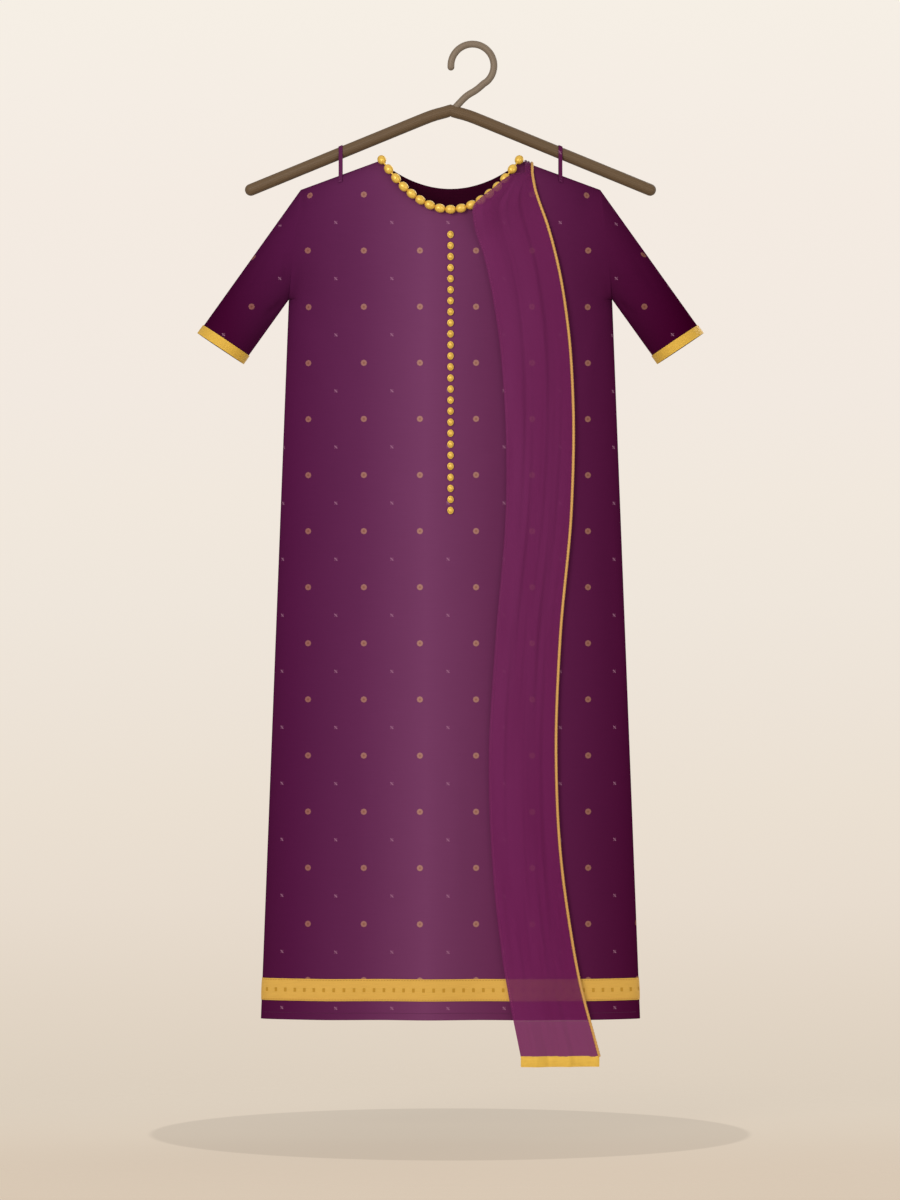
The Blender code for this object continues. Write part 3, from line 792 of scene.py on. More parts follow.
@dataclass(frozen=True)
class SheerCloth:
    """Sheer magenta crepe, woven closer and dyed deeper towards both of its ends, with painted shade darker
    from its plain edge to its piped edge.

    Attributes:
        open_share: how solid one of its two faces is, where it is sheerest.
        close_share: how solid a face is near the ends.
        close_reach: how far from an end the close weave goes, and where it has opened out.
        head_share: how solid a face is at the heading beside an end border.
        head_reach: how far from an end the heading goes, and where it has opened out.
        deep_reach: how far from an end the deep dye goes, and where it has faded out.
        deep: what the deep dye multiplies the colour by.
        thread: between the crepe's threads.
    """

    open_share: float = 0.57
    close_share: float = 0.68
    close_reach: tuple[float, float] = (0.06, 0.30)
    head_share: float = 0.79
    head_reach: tuple[float, float] = (0.045, 0.052)
    deep_reach: tuple[float, float] = (0.15, 0.60)
    deep: Triple = (0.98, 0.76, 0.97)
    thread: float = 0.0007

    def material(self, width: float, length: float) -> Material:
        """The sheer cloth's material.

        Args:
            width: of the flat cloth.
            length: of the flat cloth, from end to end.

        Returns:
            The material.
        """
        recipe = Recipe("sheer crepe", "6e2454", 0.60, Specular_IOR_Level=0.06, Specular_Tint="d060a0")
        flat = recipe.flat()
        across, down, _ = flat.parts()
        end = down.smaller(down * -1.0 + length)
        close = end.step(*self.close_reach, self.close_share, self.open_share)
        recipe.set(Alpha=end.step(*self.head_reach, self.head_share, close))
        crinkle = flat.noise((700.0, 160.0, 1.0), 3.0)
        cloudy = flat.noise((30.0, 5.0, 1.0), 2.0)
        # painted shade: lighter at the plain edge and darker towards the piped edge, as the light from the
        # left falls on it
        cloth = recipe.mix(across / width, "742c5b", "69214f")
        cloth = recipe.mix(cloudy.step(0.25, 0.8, 0.0, 0.5), cloth, "641c4a")
        cloth = recipe.mix(end.step(*self.deep_reach, 1.0, 0.0), cloth, cloth.times(self.deep))
        cloth = recipe.mix(end.step(*self.head_reach, 1.0, 0.0), cloth, "77225b")
        cloth = recipe.mix(crinkle * 0.25, cloth, "7e3264")
        crepe = flat.woven(2.0 * self.thread, 2.0 * self.thread)
        return recipe.finished(cloth, (crepe, 0.00006), (crinkle, 0.00015))


@dataclass(frozen=True)
class Cord:
    """Gold cord for the piping: glossy threads laid on a slant, so many radians a metre along and round."""

    colour: str = "d8a356"
    slant: tuple[float, float] = (5200.0, 9000.0)

    def material(self) -> Material:
        """Mixes the cord's look.

        Returns:
            Its material.
        """
        recipe = Recipe("gold cord", self.colour, 0.42, Metallic=0.12, Specular_IOR_Level=0.3)
        run, turn, _ = recipe.flat().parts()
        threads = (run * self.slant[0] + turn * self.slant[1]).ridges()
        return recipe.finished(recipe.mix(threads, "b98038", "e5b466"), (threads, 0.00008))


@dataclass(frozen=True)
class Wood:
    """Stained wood with its grain along the hanger's arms."""

    colour: str = "65503a"
    rings: float = 2400.0
    warp: float = 16.0

    def material(self) -> Material:
        """Mixes the wood's look.

        Returns:
            Its material.
        """
        uniform = {"Specular_IOR_Level": 0.18, "Coat_Weight": 0.05, "Coat_Roughness": 0.35}
        recipe = Recipe("stained wood", self.colour, 0.50, **uniform)
        flat = recipe.flat()
        warped = flat.noise((6.0, 60.0, 1.0), 2.0) * self.warp
        grain = (flat.parts()[1] * self.rings + warped).ridges()
        fibres = flat.noise((45.0, 2600.0, 1.0), 3.0)
        wood = recipe.mix(grain * 0.45, "6b543b", "58452f")
        wood = recipe.mix(fibres.step(0.35, 0.75, 0.0, 0.35), wood, "4c3b28")
        return recipe.finished(wood, (fibres, 0.00012), (grain, 0.00005))


@dataclass(frozen=True)
class HookSteel:
    """Bronzed steel rod, brushed along its length, with faint rub marks."""

    colour: str = "806f5d"

    def material(self) -> Material:
        """Mixes the rod's look.

        Returns:
            Its material.
        """
        recipe = Recipe("bronzed steel", self.colour, 0.50, Metallic=0.12, Specular_IOR_Level=0.15)
        brushed = recipe.flat().noise((30.0, 700.0, 1.0), 2.0)
        rubbed = recipe.place().noise((70.0, 70.0, 70.0), 3.0)
        colour = recipe.mix(rubbed.step(0.45, 0.8, 0.0, 0.35), self.colour, "8c7b67")
        return recipe.finished(colour, (brushed, 0.00003))


@dataclass(frozen=True)
class Thread:
    """Twisted sewing thread."""

    name: str
    colour: str

    def material(self) -> Material:
        """Mixes the thread's look.

        Returns:
            Its material.
        """
        recipe = Recipe(self.name, self.colour, 0.60, Specular_IOR_Level=0.15)
        twist = recipe.place().noise((2600.0, 2600.0, 2600.0), 1.0)
        return recipe.finished(recipe.mix(twist * 0.4, self.colour, "20060f"), (twist, 0.00008))


# ------------ the kameez's form
@dataclass(frozen=True)
class Fold:
    """A soft fold that hangs down a panel.

    Attributes:
        centre: its place across, as a share of the half width.
        width: its width, likewise.
        out: how far it stands out at the hem.
        start: the height where it begins.
    """

    centre: float
    width: float
    out: float
    start: float


@dataclass(frozen=True)
class Crease:
    """A soft ridge or trough along a gently bowed line.

    Attributes:
        start: one end, across and up.
        end: the other end.
        width: how wide it is.
        relief: how far it stands out, or in where negative.
        bow: how far its middle lies off the straight line.
        fades: shares of its length over which it rises at the start and sinks at the end.
    """

    start: tuple[float, float]
    end: tuple[float, float]
    width: float
    relief: float
    bow: float = 0.0
    fades: tuple[float, float] = (0.35, 0.45)

    def lift(self, x: Array, z: Array) -> Array:
        """The relief times a bell across the line, fading to nothing at both of its ends.

        Args:
            x: places across.
            z: their heights.

        Returns:
            The lift at each place.
        """
        run = np.subtract(self.end, self.start)
        length = float(np.hypot(*run))
        ux, uz = run / length
        share = ((x - self.start[0]) * ux + (z - self.start[1]) * uz) / length
        held = np.clip(share, 0.0, 1.0)
        off = (z - self.start[1]) * ux - (x - self.start[0]) * uz - 4.0 * self.bow * held * (1.0 - held)
        rise, sink = self.fades
        return self.relief * bell(off / self.width) * smooth(share / rise) * smooth((1.0 - share) / sink)


@dataclass(frozen=True)
class PanelShape:
    """What differs between the front and the back: the neck's depth, the folds and the creases."""

    neck_drop: float
    folds: tuple[Fold, ...]
    creases: tuple[Crease, ...]


FRONT = PanelShape(
    neck_drop=0.0660,
    folds=(
        Fold(-0.66, 0.13, 0.0060, -0.62),
        Fold(-0.36, 0.12, -0.0035, -0.74),
        Fold(-0.12, 0.14, 0.0050, -0.66),
        Fold(0.17, 0.12, -0.0040, -0.80),
        Fold(0.44, 0.13, 0.0045, -0.58),
        Fold(0.74, 0.12, 0.0050, -0.70),
    ),
    creases=(
        Crease((-0.148, -0.205), (-0.160, -0.395), 0.0110, 0.0016, 0.006),
        Crease((0.150, -0.205), (0.166, -0.375), 0.0100, 0.0015, -0.005),
        Crease((-0.196, -0.330), (-0.118, -0.468), 0.0120, -0.0017, 0.010),
        Crease((-0.203, -0.372), (-0.128, -0.560), 0.0130, 0.0014, 0.012),
        Crease((0.198, -0.338), (0.176, -0.500), 0.0110, 0.0015, -0.008),
        Crease((-0.098, -0.232), (-0.046, -0.412), 0.0140, 0.0012, -0.008),
        Crease((0.040, -0.262), (0.030, -0.520), 0.0120, -0.0010, 0.006),
        Crease((-0.152, -0.560), (-0.176, -0.900), 0.0150, -0.0018, 0.008),
        Crease((-0.052, -0.520), (-0.066, -0.850), 0.0140, 0.0015, -0.007),
        Crease((0.196, -0.560), (0.212, -0.930), 0.0130, -0.0016, 0.006),
        Crease((-0.100, -0.830), (-0.108, -1.190), 0.0120, 0.0014, 0.004),
        Crease((0.010, -0.860), (0.014, -1.200), 0.0110, 0.0013, -0.004),
    ),
)
BACK = PanelShape(
    neck_drop=0.0350,
    folds=(
        Fold(-0.70, 0.13, 0.0055, -0.66),
        Fold(-0.41, 0.13, 0.0050, -0.56),
        Fold(-0.13, 0.12, -0.0040, -0.78),
        Fold(0.15, 0.14, 0.0055, -0.62),
        Fold(0.45, 0.12, -0.0035, -0.72),
        Fold(0.68, 0.13, 0.0060, -0.68),
    ),
    creases=(
        Crease((-0.150, -0.205), (-0.166, -0.400), 0.0120, 0.0016, -0.006),
        Crease((0.148, -0.205), (0.158, -0.385), 0.0110, 0.0016, 0.005),
        Crease((-0.196, -0.340), (-0.122, -0.490), 0.0120, 0.0015, -0.010),
        Crease((0.196, -0.336), (0.120, -0.480), 0.0130, -0.0016, -0.010),
        Crease((-0.060, -0.230), (-0.040, -0.560), 0.0150, -0.0012, 0.006),
        Crease((-0.110, -0.560), (-0.128, -0.930), 0.0140, 0.0017, 0.006),
        Crease((0.000, -0.600), (-0.008, -0.940), 0.0140, -0.0015, -0.006),
        Crease((0.180, -0.560), (0.204, -0.900), 0.0130, 0.0016, 0.006),
        Crease((-0.190, -0.840), (-0.206, -1.190), 0.0120, -0.0015, 0.004),
    ),
)
SHAPES = {Facing.FRONT: FRONT, Facing.BACK: BACK}
SLEEVE_CREASES = (
    Crease((0.100, 0.020), (0.066, 0.105), 0.0075, 0.0016, 0.004),
    Crease((0.135, 0.018), (0.108, 0.122), 0.0070, -0.0015, -0.003),
    Crease((0.182, 0.020), (0.210, 0.112), 0.0075, 0.0016, -0.004),
    Crease((0.232, 0.030), (0.248, 0.130), 0.0070, -0.0012, 0.003),
    Crease((0.052, 0.060), (0.060, 0.160), 0.0080, -0.0010, 0.003),
)


@dataclass(frozen=True)
class KameezForm:
    """The kameez's sizes, and where its outer face lies at any place across and any height.

    A name in _half is half the width at that level, and one in _z is the level's height.

    Attributes:
        chest_depth: from the middle plane to the face at the chest.
        hem_depth: the same at the hem.
        shoulder_roll: how far below its seam the shoulder has turned into the flat.
        armhole_depth: from the middle plane to the face, half way down the armhole.
        side_power: of the side's rounding, higher for a sharper side.
        armhole_power: how closely the armhole's form keeps to the side, as a power of the share across.
        armhole_bow: power of the armhole's bow at the seam, and inside it.
        bow_reach: share of the half width over which the one becomes the other.
        armhole_ease: height over which the armhole eases into the side seam.
        ease_above: how far above the underarm that starts.
        side_hold: share of the half width over which creases fade out at the side.
        seam_gap: between front and back where they meet.
    """

    neck_half: float = 0.0910
    neck_z: float = -0.1470
    shoulder_half: float = 0.1950
    shoulder_z: float = -0.1853
    underarm_half: float = 0.2106
    underarm_z: float = -0.3283
    hem_half: float = 0.2470
    hem_z: float = -1.2643
    chest_depth: float = 0.0310
    hem_depth: float = 0.0390
    shoulder_roll: float = 0.0450
    armhole_depth: float = 0.0330
    side_power: float = 2.6
    armhole_power: float = 8.0
    armhole_bow: tuple[float, float] = (0.5, 2.0)
    bow_reach: float = 0.14
    armhole_ease: float = 0.0900
    ease_above: float = 0.0540
    side_hold: float = 0.06
    seam_gap: float = 0.00002

    def half_width(self, z: Array) -> Array:
        """From the centre line to the side, at height z: straight lines between three sizes."""
        drops = (-self.shoulder_z, -self.underarm_z, -self.hem_z)
        return np.interp(-z, drops, (self.shoulder_half, self.underarm_half, self.hem_half))

    def shoulder_line(self, x: Array) -> Array:
        """The shoulder seam's height at x, a straight slope carried on above the neck."""
        slope = (self.neck_z - self.shoulder_z) / (self.shoulder_half - self.neck_half)
        return self.neck_z - (np.abs(x) - self.neck_half) * slope

    def neckline(self, x: Array, facing: Facing) -> Array:
        """A neckline's height at x, a parabola through both neck points."""
        return self.neck_z - SHAPES[facing].neck_drop * (1.0 - np.square(x / self.neck_half))

    def depth(self, x: Array, z: Array, facing: Facing) -> Array:
        """From the middle plane to the outer face without its creases.

        The middle is nearly flat and deepens towards the hem by its folds. It turns in by the root of
        1 - share to a power at the sides, by a quarter circle at the shoulders, and by a bow round the
        armhole, an ellipse at the seam that softens inside it; the armhole's form eases into the side
        seam's below it.

        Args:
            x: places across, from the centre line.
            z: heights.
            facing: which side.

        Returns:
            The depths, all positive.
        """
        across = np.clip(np.abs(x) / self.half_width(z), 0.0, 1.0)
        hang = smooth((self.underarm_z - z) / (self.underarm_z - self.hem_z))
        flat = self.chest_depth + (self.hem_depth - self.chest_depth) * hang
        below = np.clip((self.shoulder_line(x) - z) / self.shoulder_roll, 0.0, 1.0)
        roll = np.sqrt(1.0 - np.square(1.0 - below))
        for fold in SHAPES[facing].folds:
            ridge = bell((np.sign(x) * across - fold.centre) / fold.width)
            flat = flat + fold.out * ridge * smooth((fold.start - z) / (fold.start - self.hem_z))
        down = np.clip((self.shoulder_z - z) / (self.shoulder_z - self.underarm_z), 0.0, 1.0)
        edge = across**self.armhole_power
        sharp, soft = self.armhole_bow
        bow = sharp + (soft - sharp) * smooth((1.0 - across) / self.bow_reach)
        armhole = self.armhole_depth * (4.0 * down * (1.0 - down)) ** bow * edge
        shoulders = flat * roll * (1.0 - edge)
        skirt = flat * np.sqrt(1.0 - across**self.side_power)
        falls = smooth((self.underarm_z + self.ease_above - z) / self.armhole_ease)
        return armhole + shoulders + (skirt - shoulders) * falls

    def face(self, x: Array, z: Array, facing: Facing) -> Array:
        """Adds the creases' lifts to the depth, fading them out at the side seams.

        Args:
            x: places across.
            z: their heights.
            facing: the panel.

        Returns:
            Points over the outer face.
        """
        creased = sum(crease.lift(x, z) for crease in SHAPES[facing].creases)
        held = smooth((1.0 - np.abs(x) / self.half_width(z)) / self.side_hold)
        depth = self.depth(x, z, facing) + creased * held + self.seam_gap / 2.0
        return stacked(x, facing.value * depth, z)

    def surface(self, x: Array, z: Array, facing: Facing, lift: float = 0.0) -> tuple[Array, Array]:
        """Points over the outer face, and its normals there, by small differences of the face.

        Args:
            x: places across, from the centre line.
            z: heights.
            facing: which side.
            lift: height over the cloth.

        Returns:
            The points and the normals.
        """
        reach = 0.0005
        point = self.face(x, z, facing)
        slope_x = (self.face(x + reach, z, facing) - point)[..., 1] / reach
        slope_z = (point - self.face(x, z - reach, facing))[..., 1] / reach
        normal = facing.value * unit(stacked(-slope_x, 1.0, -slope_z))
        return point + lift * normal, normal

    def roll_angle(self, below: Array) -> Array:
        """The shoulder's roll as an angle, at a distance below the seam, which is at 0."""
        return np.arccos(1.0 - np.clip(below, 0.0, self.shoulder_roll) / self.shoulder_roll)

    def roll_lean(self, x: Array, angle: Array) -> tuple[Array, Array]:
        """The roll's depth at x, and its normal there, out over the depth and up over the roll's height."""
        deep = self.chest_depth * (1.0 - (np.abs(x) / self.shoulder_half) ** self.armhole_power)
        return deep, unit(stacked(0.0, np.sin(angle) / deep, np.cos(angle) / self.shoulder_roll))

    def over_shoulder(self, x: Array, angle: Array, lift: Array | float) -> Array:
        """Points over the shoulder's roll: depth by the sine of the angle, height by its cosine.

        Args:
            x: places across.
            angle: from the seam, negative on the front.
            lift: height over the cloth.

        Returns:
            The points.
        """
        deep, normal = self.roll_lean(x, angle)
        z = self.shoulder_line(x) - self.shoulder_roll * (1.0 - np.cos(angle))
        return stacked(x, deep * np.sin(angle), z) + np.asarray(lift)[..., None] * normal


# ------------ sewing
@dataclass(frozen=True)
class Stitching:
    """A row of stitches, each a small capsule half sunk in the cloth.

    Attributes:
        length: of a stitch.
        gap: between two.
        radius: of the thread.
    """

    length: float = 0.0026
    gap: float = 0.0012
    radius: float = 0.00032

    def row(self, path: Array, out: Array) -> Patch:
        """Stitches along a path on the cloth.

        Args:
            path: the row's points.
            out: the cloth's normal at each of them.

        Returns:
            The stitches.
        """
        share = np.linspace(-1.0, 1.0, 5)
        template = turned(self.radius * np.sqrt(1.0 - 0.8 * share**4), 0.5 * self.length * share, 6)
        run, pitch = run_of(path), self.length + self.gap
        return strung(template, path, out, run, np.arange(pitch / 2.0, run[-1], pitch), 0.0005)


def strung(template: Patch, path: Array, out: Array, run: Array, at: Array, reach: float) -> Patch:
    """Copies of a small piece along a path, each with its Z axis along it and its Y axis outwards.

    Args:
        template: the piece about its own origin.
        path: the path's points.
        out: the direction outwards at each of them.
        run: each one's distance from the path's start.
        at: the copies' distances.
        reach: from a copy's middle to where the path's direction is read.

    Returns:
        The copies.
    """
    ahead = unit(along(path, run, at + reach) - along(path, run, at - reach))
    side = unit(np.cross(ahead, along(out, run, at)))
    return copies(template, along(path, run, at), np.stack([side, np.cross(side, ahead), ahead], axis=1))


# ------------ the kameez
@dataclass
class Kameez:
    """The kameez: front, back, sleeves, gold borders and sewing.

    Attributes:
        wall: thickness of the silk.
        border: thickness of the gold borders.
        laid_gap: between a border and the silk below it.
        neck_columns: of the grid, from the centre line to a neck point.
        side_columns: from there to the side.
        armhole_rows: of the grid, down the armhole.
        cuff_outer: the outer corner of a sleeve's end, across and up.
        cuff_inner: its corner under the arm.
        cuff_depth: half its depth, front to back.
        cuff_band: how deep its border is.
        crease_radius: makes a turn round the sleeve a distance, for its creases.
        band: top and foot of the hem border.
        band_inset: its half width as a share of the panel's.
        sewn_reach: how far across the stitches go, as a share of the half width.
        hem_stitch: from the hem up to its stitches.
        band_stitch: from the hem border's edges in to theirs.
        neck_stitch: from the back neckline down to its stitches.
        taken_up: how much wider the cloth was cut than the panel looks, for its roundness.
        sleeve_flat: width and length of a sleeve's cloth as it was cut.
        sleeve_area: its area.
    """

    form: KameezForm = KameezForm()
    wall: float = 0.0009
    border: float = 0.0009
    laid_gap: float = 0.0004
    neck_columns: int = 28
    side_columns: int = 36
    armhole_rows: int = 44
    skirt_rows: int = 132
    sleeve_rows: int = 56
    border_rows: int = 9
    cuff_outer: tuple[float, float] = (0.3288, -0.3726)
    cuff_inner: tuple[float, float] = (0.2703, -0.4116)
    cuff_depth: float = 0.0340
    cuff_band: float = 0.0130
    crease_radius: float = 0.05
    band: tuple[float, float] = (-1.2110, -1.2396)
    band_inset: float = 0.9985
    sewn_reach: float = 0.985
    sewn_points: int = 160
    hem_stitch: float = 0.0090
    band_stitch: float = 0.0016
    neck_stitch: float = 0.0065
    taken_up: float = 1.03
    sleeve_flat: tuple[float, float] = (0.300, 0.222)
    sleeve_area: float = 0.0357
    pieces: dict[str, Thing] = field(default_factory=dict)

    def build(self, silk: PlumSilk, gold: GoldBorder) -> None:
        """Makes every piece of the kameez.

        Args:
            silk: the body cloth's finish.
            gold: the borders' finish.
        """
        cloth = (silk.right_side(), silk.wrong_side())
        hem_gold = gold.material("gold border with squares", True, "d9a746")
        cuff_gold = gold.material("plain gold border", False, "ddad3a")
        panels = {}
        for facing in Facing:
            panels[facing] = self.panel(facing, cloth)
            self.hem_band(facing, hem_gold)
        for hand in Hand:
            self.sleeve(hand, panels, cloth, cuff_gold)
        self.sewing()
        for facing in Facing:
            self.declare_panel(facing)

    def add(self, name: str, patch: Patch, finish: Sequence[Material], slot: Slot, *nodes: str) -> None:
        """Makes a piece and keeps it by its name."""
        self.pieces[name] = piece(name, patch, finish, nodes)

    def shares(self) -> Array:
        """Spreads a panel's columns, closer at the sides and with one at each neck point.

        Returns:
            Their places as shares of the half width.
        """
        neck = self.form.neck_half / self.form.shoulder_half
        inner = np.linspace(0.0, neck, self.neck_columns + 1)
        turn = np.linspace(0.0, math.pi / 2.0, self.side_columns + 1)[1:]
        half = np.concatenate([inner, neck + (1.0 - neck) * np.sin(turn)])
        return np.concatenate([-half[:0:-1], half])

    def panel_places(self, facing: Facing) -> tuple[Array, Array]:
        """A panel's grid, whose top row follows the shoulders and the neckline.

        Its rows are closer at both ends of the armhole, then even down the skirt. The top row's form
        fades out down the armhole by (1 - share)^2.

        Args:
            facing: which panel.

        Returns:
            The grid's places across and its heights.
        """
        form = self.form
        turn = np.linspace(0.0, math.pi, self.armhole_rows + 1)
        armhole = form.shoulder_z + (form.underarm_z - form.shoulder_z) * (1.0 - np.cos(turn)) / 2.0
        skirt = np.linspace(form.underarm_z, form.hem_z, self.skirt_rows + 1)[1:]
        heights = np.concatenate([armhole, skirt])
        at_top = self.shares() * form.shoulder_half
        in_neck = np.abs(at_top) < form.neck_half
        top = np.where(in_neck, form.neckline(at_top, facing), form.shoulder_line(at_top))
        down = np.clip((form.shoulder_z - heights) / (form.shoulder_z - form.underarm_z), 0.0, 1.0)
        z = heights[:, None] + np.outer((1.0 - down) ** 2, top - form.shoulder_z)
        return np.outer(form.half_width(heights), self.shares()), z

    def panel(self, facing: Facing, cloth: Sequence[Material]) -> Array:
        """The front or the back: a shell on the form's face, mapped by its run across and its height.

        Args:
            facing: which panel.
            cloth: the silk's two sides.

        Returns:
            The outer face's points, rows by columns by 3.
        """
        x, z = self.panel_places(facing)
        outer = self.form.face(x, z, facing)
        middle = self.neck_columns + self.side_columns
        inward = aimed(grid_normals(outer), (-1, middle, 1), -facing.value)
        inward[0, : self.side_columns + 1, 1] = 0.0
        inward[0, -self.side_columns - 1 :, 1] = 0.0
        inward[self.armhole_rows :, (0, -1), 1] = 0.0
        steps = np.hypot(np.diff(x, axis=1), np.diff(outer[:, :, 1], axis=1))
        run = np.concatenate([np.zeros((len(x), 1)), np.cumsum(steps, axis=1)], axis=1)
        run -= run[:, middle : middle + 1]
        turning = smooth((np.abs(x) / self.form.half_width(z) - 0.7) / 0.3)
        patch = shell(outer, outer + self.wall * unit(inward), stacked(CENTRE_X + x + (run - x) * turning, z))
        self.add(f"kameez_{facing.word}_cloth", patch, cloth, Slot.SILK, f"kameez_{facing.word}")
        return outer

    def hem_band(self, facing: Facing, gold: Material) -> None:
        """The gold border above the hem: the panel's own face between two heights, moved out.

        Its thickness swells from its edges by the root of a sine.

        Args:
            facing: which panel it is sewn on.
            gold: its material.
        """
        heights = np.linspace(*self.band, 13)
        x = np.outer(self.form.half_width(heights), self.shares() * self.band_inset)
        z = np.repeat(heights[:, None], x.shape[1], axis=1)
        under = self.form.face(x, z, facing)
        out = aimed(grid_normals(under), (0, x.shape[1] // 2, 1), facing.value)
        swell = np.sqrt(np.clip(np.sin(np.linspace(0.0, math.pi, len(heights))), 0.0, 1.0))
        below = under + self.laid_gap * out
        above = below + self.border * (0.35 + 0.65 * swell)[:, None, None] * out
        run = run_of(under[0, :, :2])
        flat = stacked(CENTRE_X + run - run[len(run) // 2], z)
        node = f"hem_band_{facing.word}"
        self.add(f"hem_border_{facing.word}", shell(above, below, flat), [gold], Slot.BORDER, node)

    def sleeve(
        self,
        hand: Hand,
        panels: dict[Facing, Array],
        cloth: Sequence[Material],
        gold: Material,
    ) -> None:
        """One sleeve and its border.

        A ring of the sleeve is a blend of the armhole's ring and the cuff's ellipse. Creases move it
        along its normals.

        Args:
            hand: which sleeve.
            panels: the panels' outer faces, whose ends make the armhole.
            cloth: the silk's two sides.
            gold: the border's material.
        """
        column = 0 if hand is Hand.LEFT else -1
        front = panels[Facing.FRONT][: self.armhole_rows + 1, column]
        back = panels[Facing.BACK][self.armhole_rows - 1 : 0 : -1, column]
        armhole = np.concatenate([front, back])
        armhole[(0, self.armhole_rows), 1] = 0.0
        turn = turns(len(armhole))
        outer, inner = (np.array((hand.value * x, 0.0, z)) for x, z in (self.cuff_outer, self.cuff_inner))
        cuff = np.outer((1.0 + np.cos(turn)) / 2.0, outer) + np.outer((1.0 - np.cos(turn)) / 2.0, inner)
        cuff[:, 1] = -self.cuff_depth * np.sin(turn)
        share = np.linspace(0.0, 1.0, self.sleeve_rows)[:, None]
        grid = armhole + share[..., None] * (cuff - armhole)
        run = float(np.linalg.norm(outer - armhole[0])) * share
        lift = sum(crease.lift(self.crease_radius * turn, run) for crease in SLEEVE_CREASES)
        grid = grid + lift[..., None] * self.outward(grid)
        patch = shell(grid, grid - self.wall * self.outward(grid), self.round_map(grid), wrap=True)
        self.add(f"sleeve_{hand.word}_cloth", patch, cloth, Slot.SILK, f"sleeve_{hand.word}")
        start = 1.0 - self.cuff_band / np.linalg.norm(cuff - armhole, axis=-1)
        ring = armhole + np.linspace(start, 1.0, self.border_rows)[..., None] * (cuff - armhole)
        out = self.outward(ring)
        below = ring + self.laid_gap * out
        patch = shell(below + self.border * out, below, self.round_map(ring), wrap=True)
        self.add(f"cuff_border_{hand.word}", patch, [gold], Slot.BORDER, f"cuff_band_{hand.word}")

    @staticmethod
    def outward(grid: Array) -> Array:
        """Finds a tube's normals, turned away from its middle line.

        Args:
            grid: rings of points.

        Returns:
            A unit vector at each point.
        """
        normals = grid_normals(grid, wrap=True)
        spoke = grid - grid.mean(axis=1, keepdims=True)
        return normals * np.sign(np.sum(normals * spoke, axis=-1).mean())

    @staticmethod
    def round_map(grid: Array) -> Array:
        """A tube's map: each half unrolled from its middle, along the line from top to bottom of its ring.

        Args:
            grid: the tube's points, rings by sides by 3.

        Returns:
            Each point's place in the flat cloth.
        """
        half = grid.shape[1] // 2
        steps = np.linalg.norm(np.roll(grid, -1, axis=1) - grid, axis=-1)
        whole = steps.sum(axis=1, keepdims=True)
        run = np.cumsum(steps, axis=1) - steps
        from_top = np.where(np.arange(grid.shape[1]) <= half, run, whole - run)
        chord = unit((grid[:, half] - grid[:, 0])[:, (0, 2)])
        middle = grid[:, half // 2][:, (0, 2)] + (CENTRE_X, 0.0)
        return middle[:, None] + (from_top - whole / 4.0)[..., None] * chord[:, None]

    def sewing(self) -> None:
        """Topstitching in plum thread at the hems and the back neck, and in gold along the borders."""
        form = self.form
        stitches = Stitching()
        plum, gilt = [], []
        on_border = self.laid_gap + 0.75 * self.border
        for facing in Facing:
            z = np.full(self.sewn_points, form.hem_z + self.hem_stitch)
            x = np.linspace(-self.sewn_reach, self.sewn_reach, self.sewn_points) * form.half_width(z)
            plum.append(stitches.row(*form.surface(x, z, facing)))
            for height in (self.band[0] - self.band_stitch, self.band[1] + self.band_stitch):
                z = np.full(self.sewn_points, height)
                gilt.append(stitches.row(*form.surface(x, z, facing, on_border)))
        x = np.linspace(-form.neck_half, form.neck_half, 90)
        z = form.neckline(x, Facing.BACK) - self.neck_stitch
        plum.append(stitches.row(*form.surface(x, z, Facing.BACK)))
        self.add("hem_stitches", joined(plum), [Thread("plum thread", "5a2648").material()], Slot.SILK)
        self.add("border_stitches", joined(gilt), [Thread("gold thread", "c08c35").material()], Slot.BORDER)

    def declare_panel(self, facing: Facing) -> None:
        """Gathers a panel's hem border and, on the front, its stitches into a list; nothing is done with it.

        Args:
            facing: the panel.
        """
        trim = [self.pieces[f"hem_border_{facing.word}"]]
        if facing is Facing.FRONT:
            trim += [self.pieces["hem_stitches"], self.pieces["border_stitches"]]


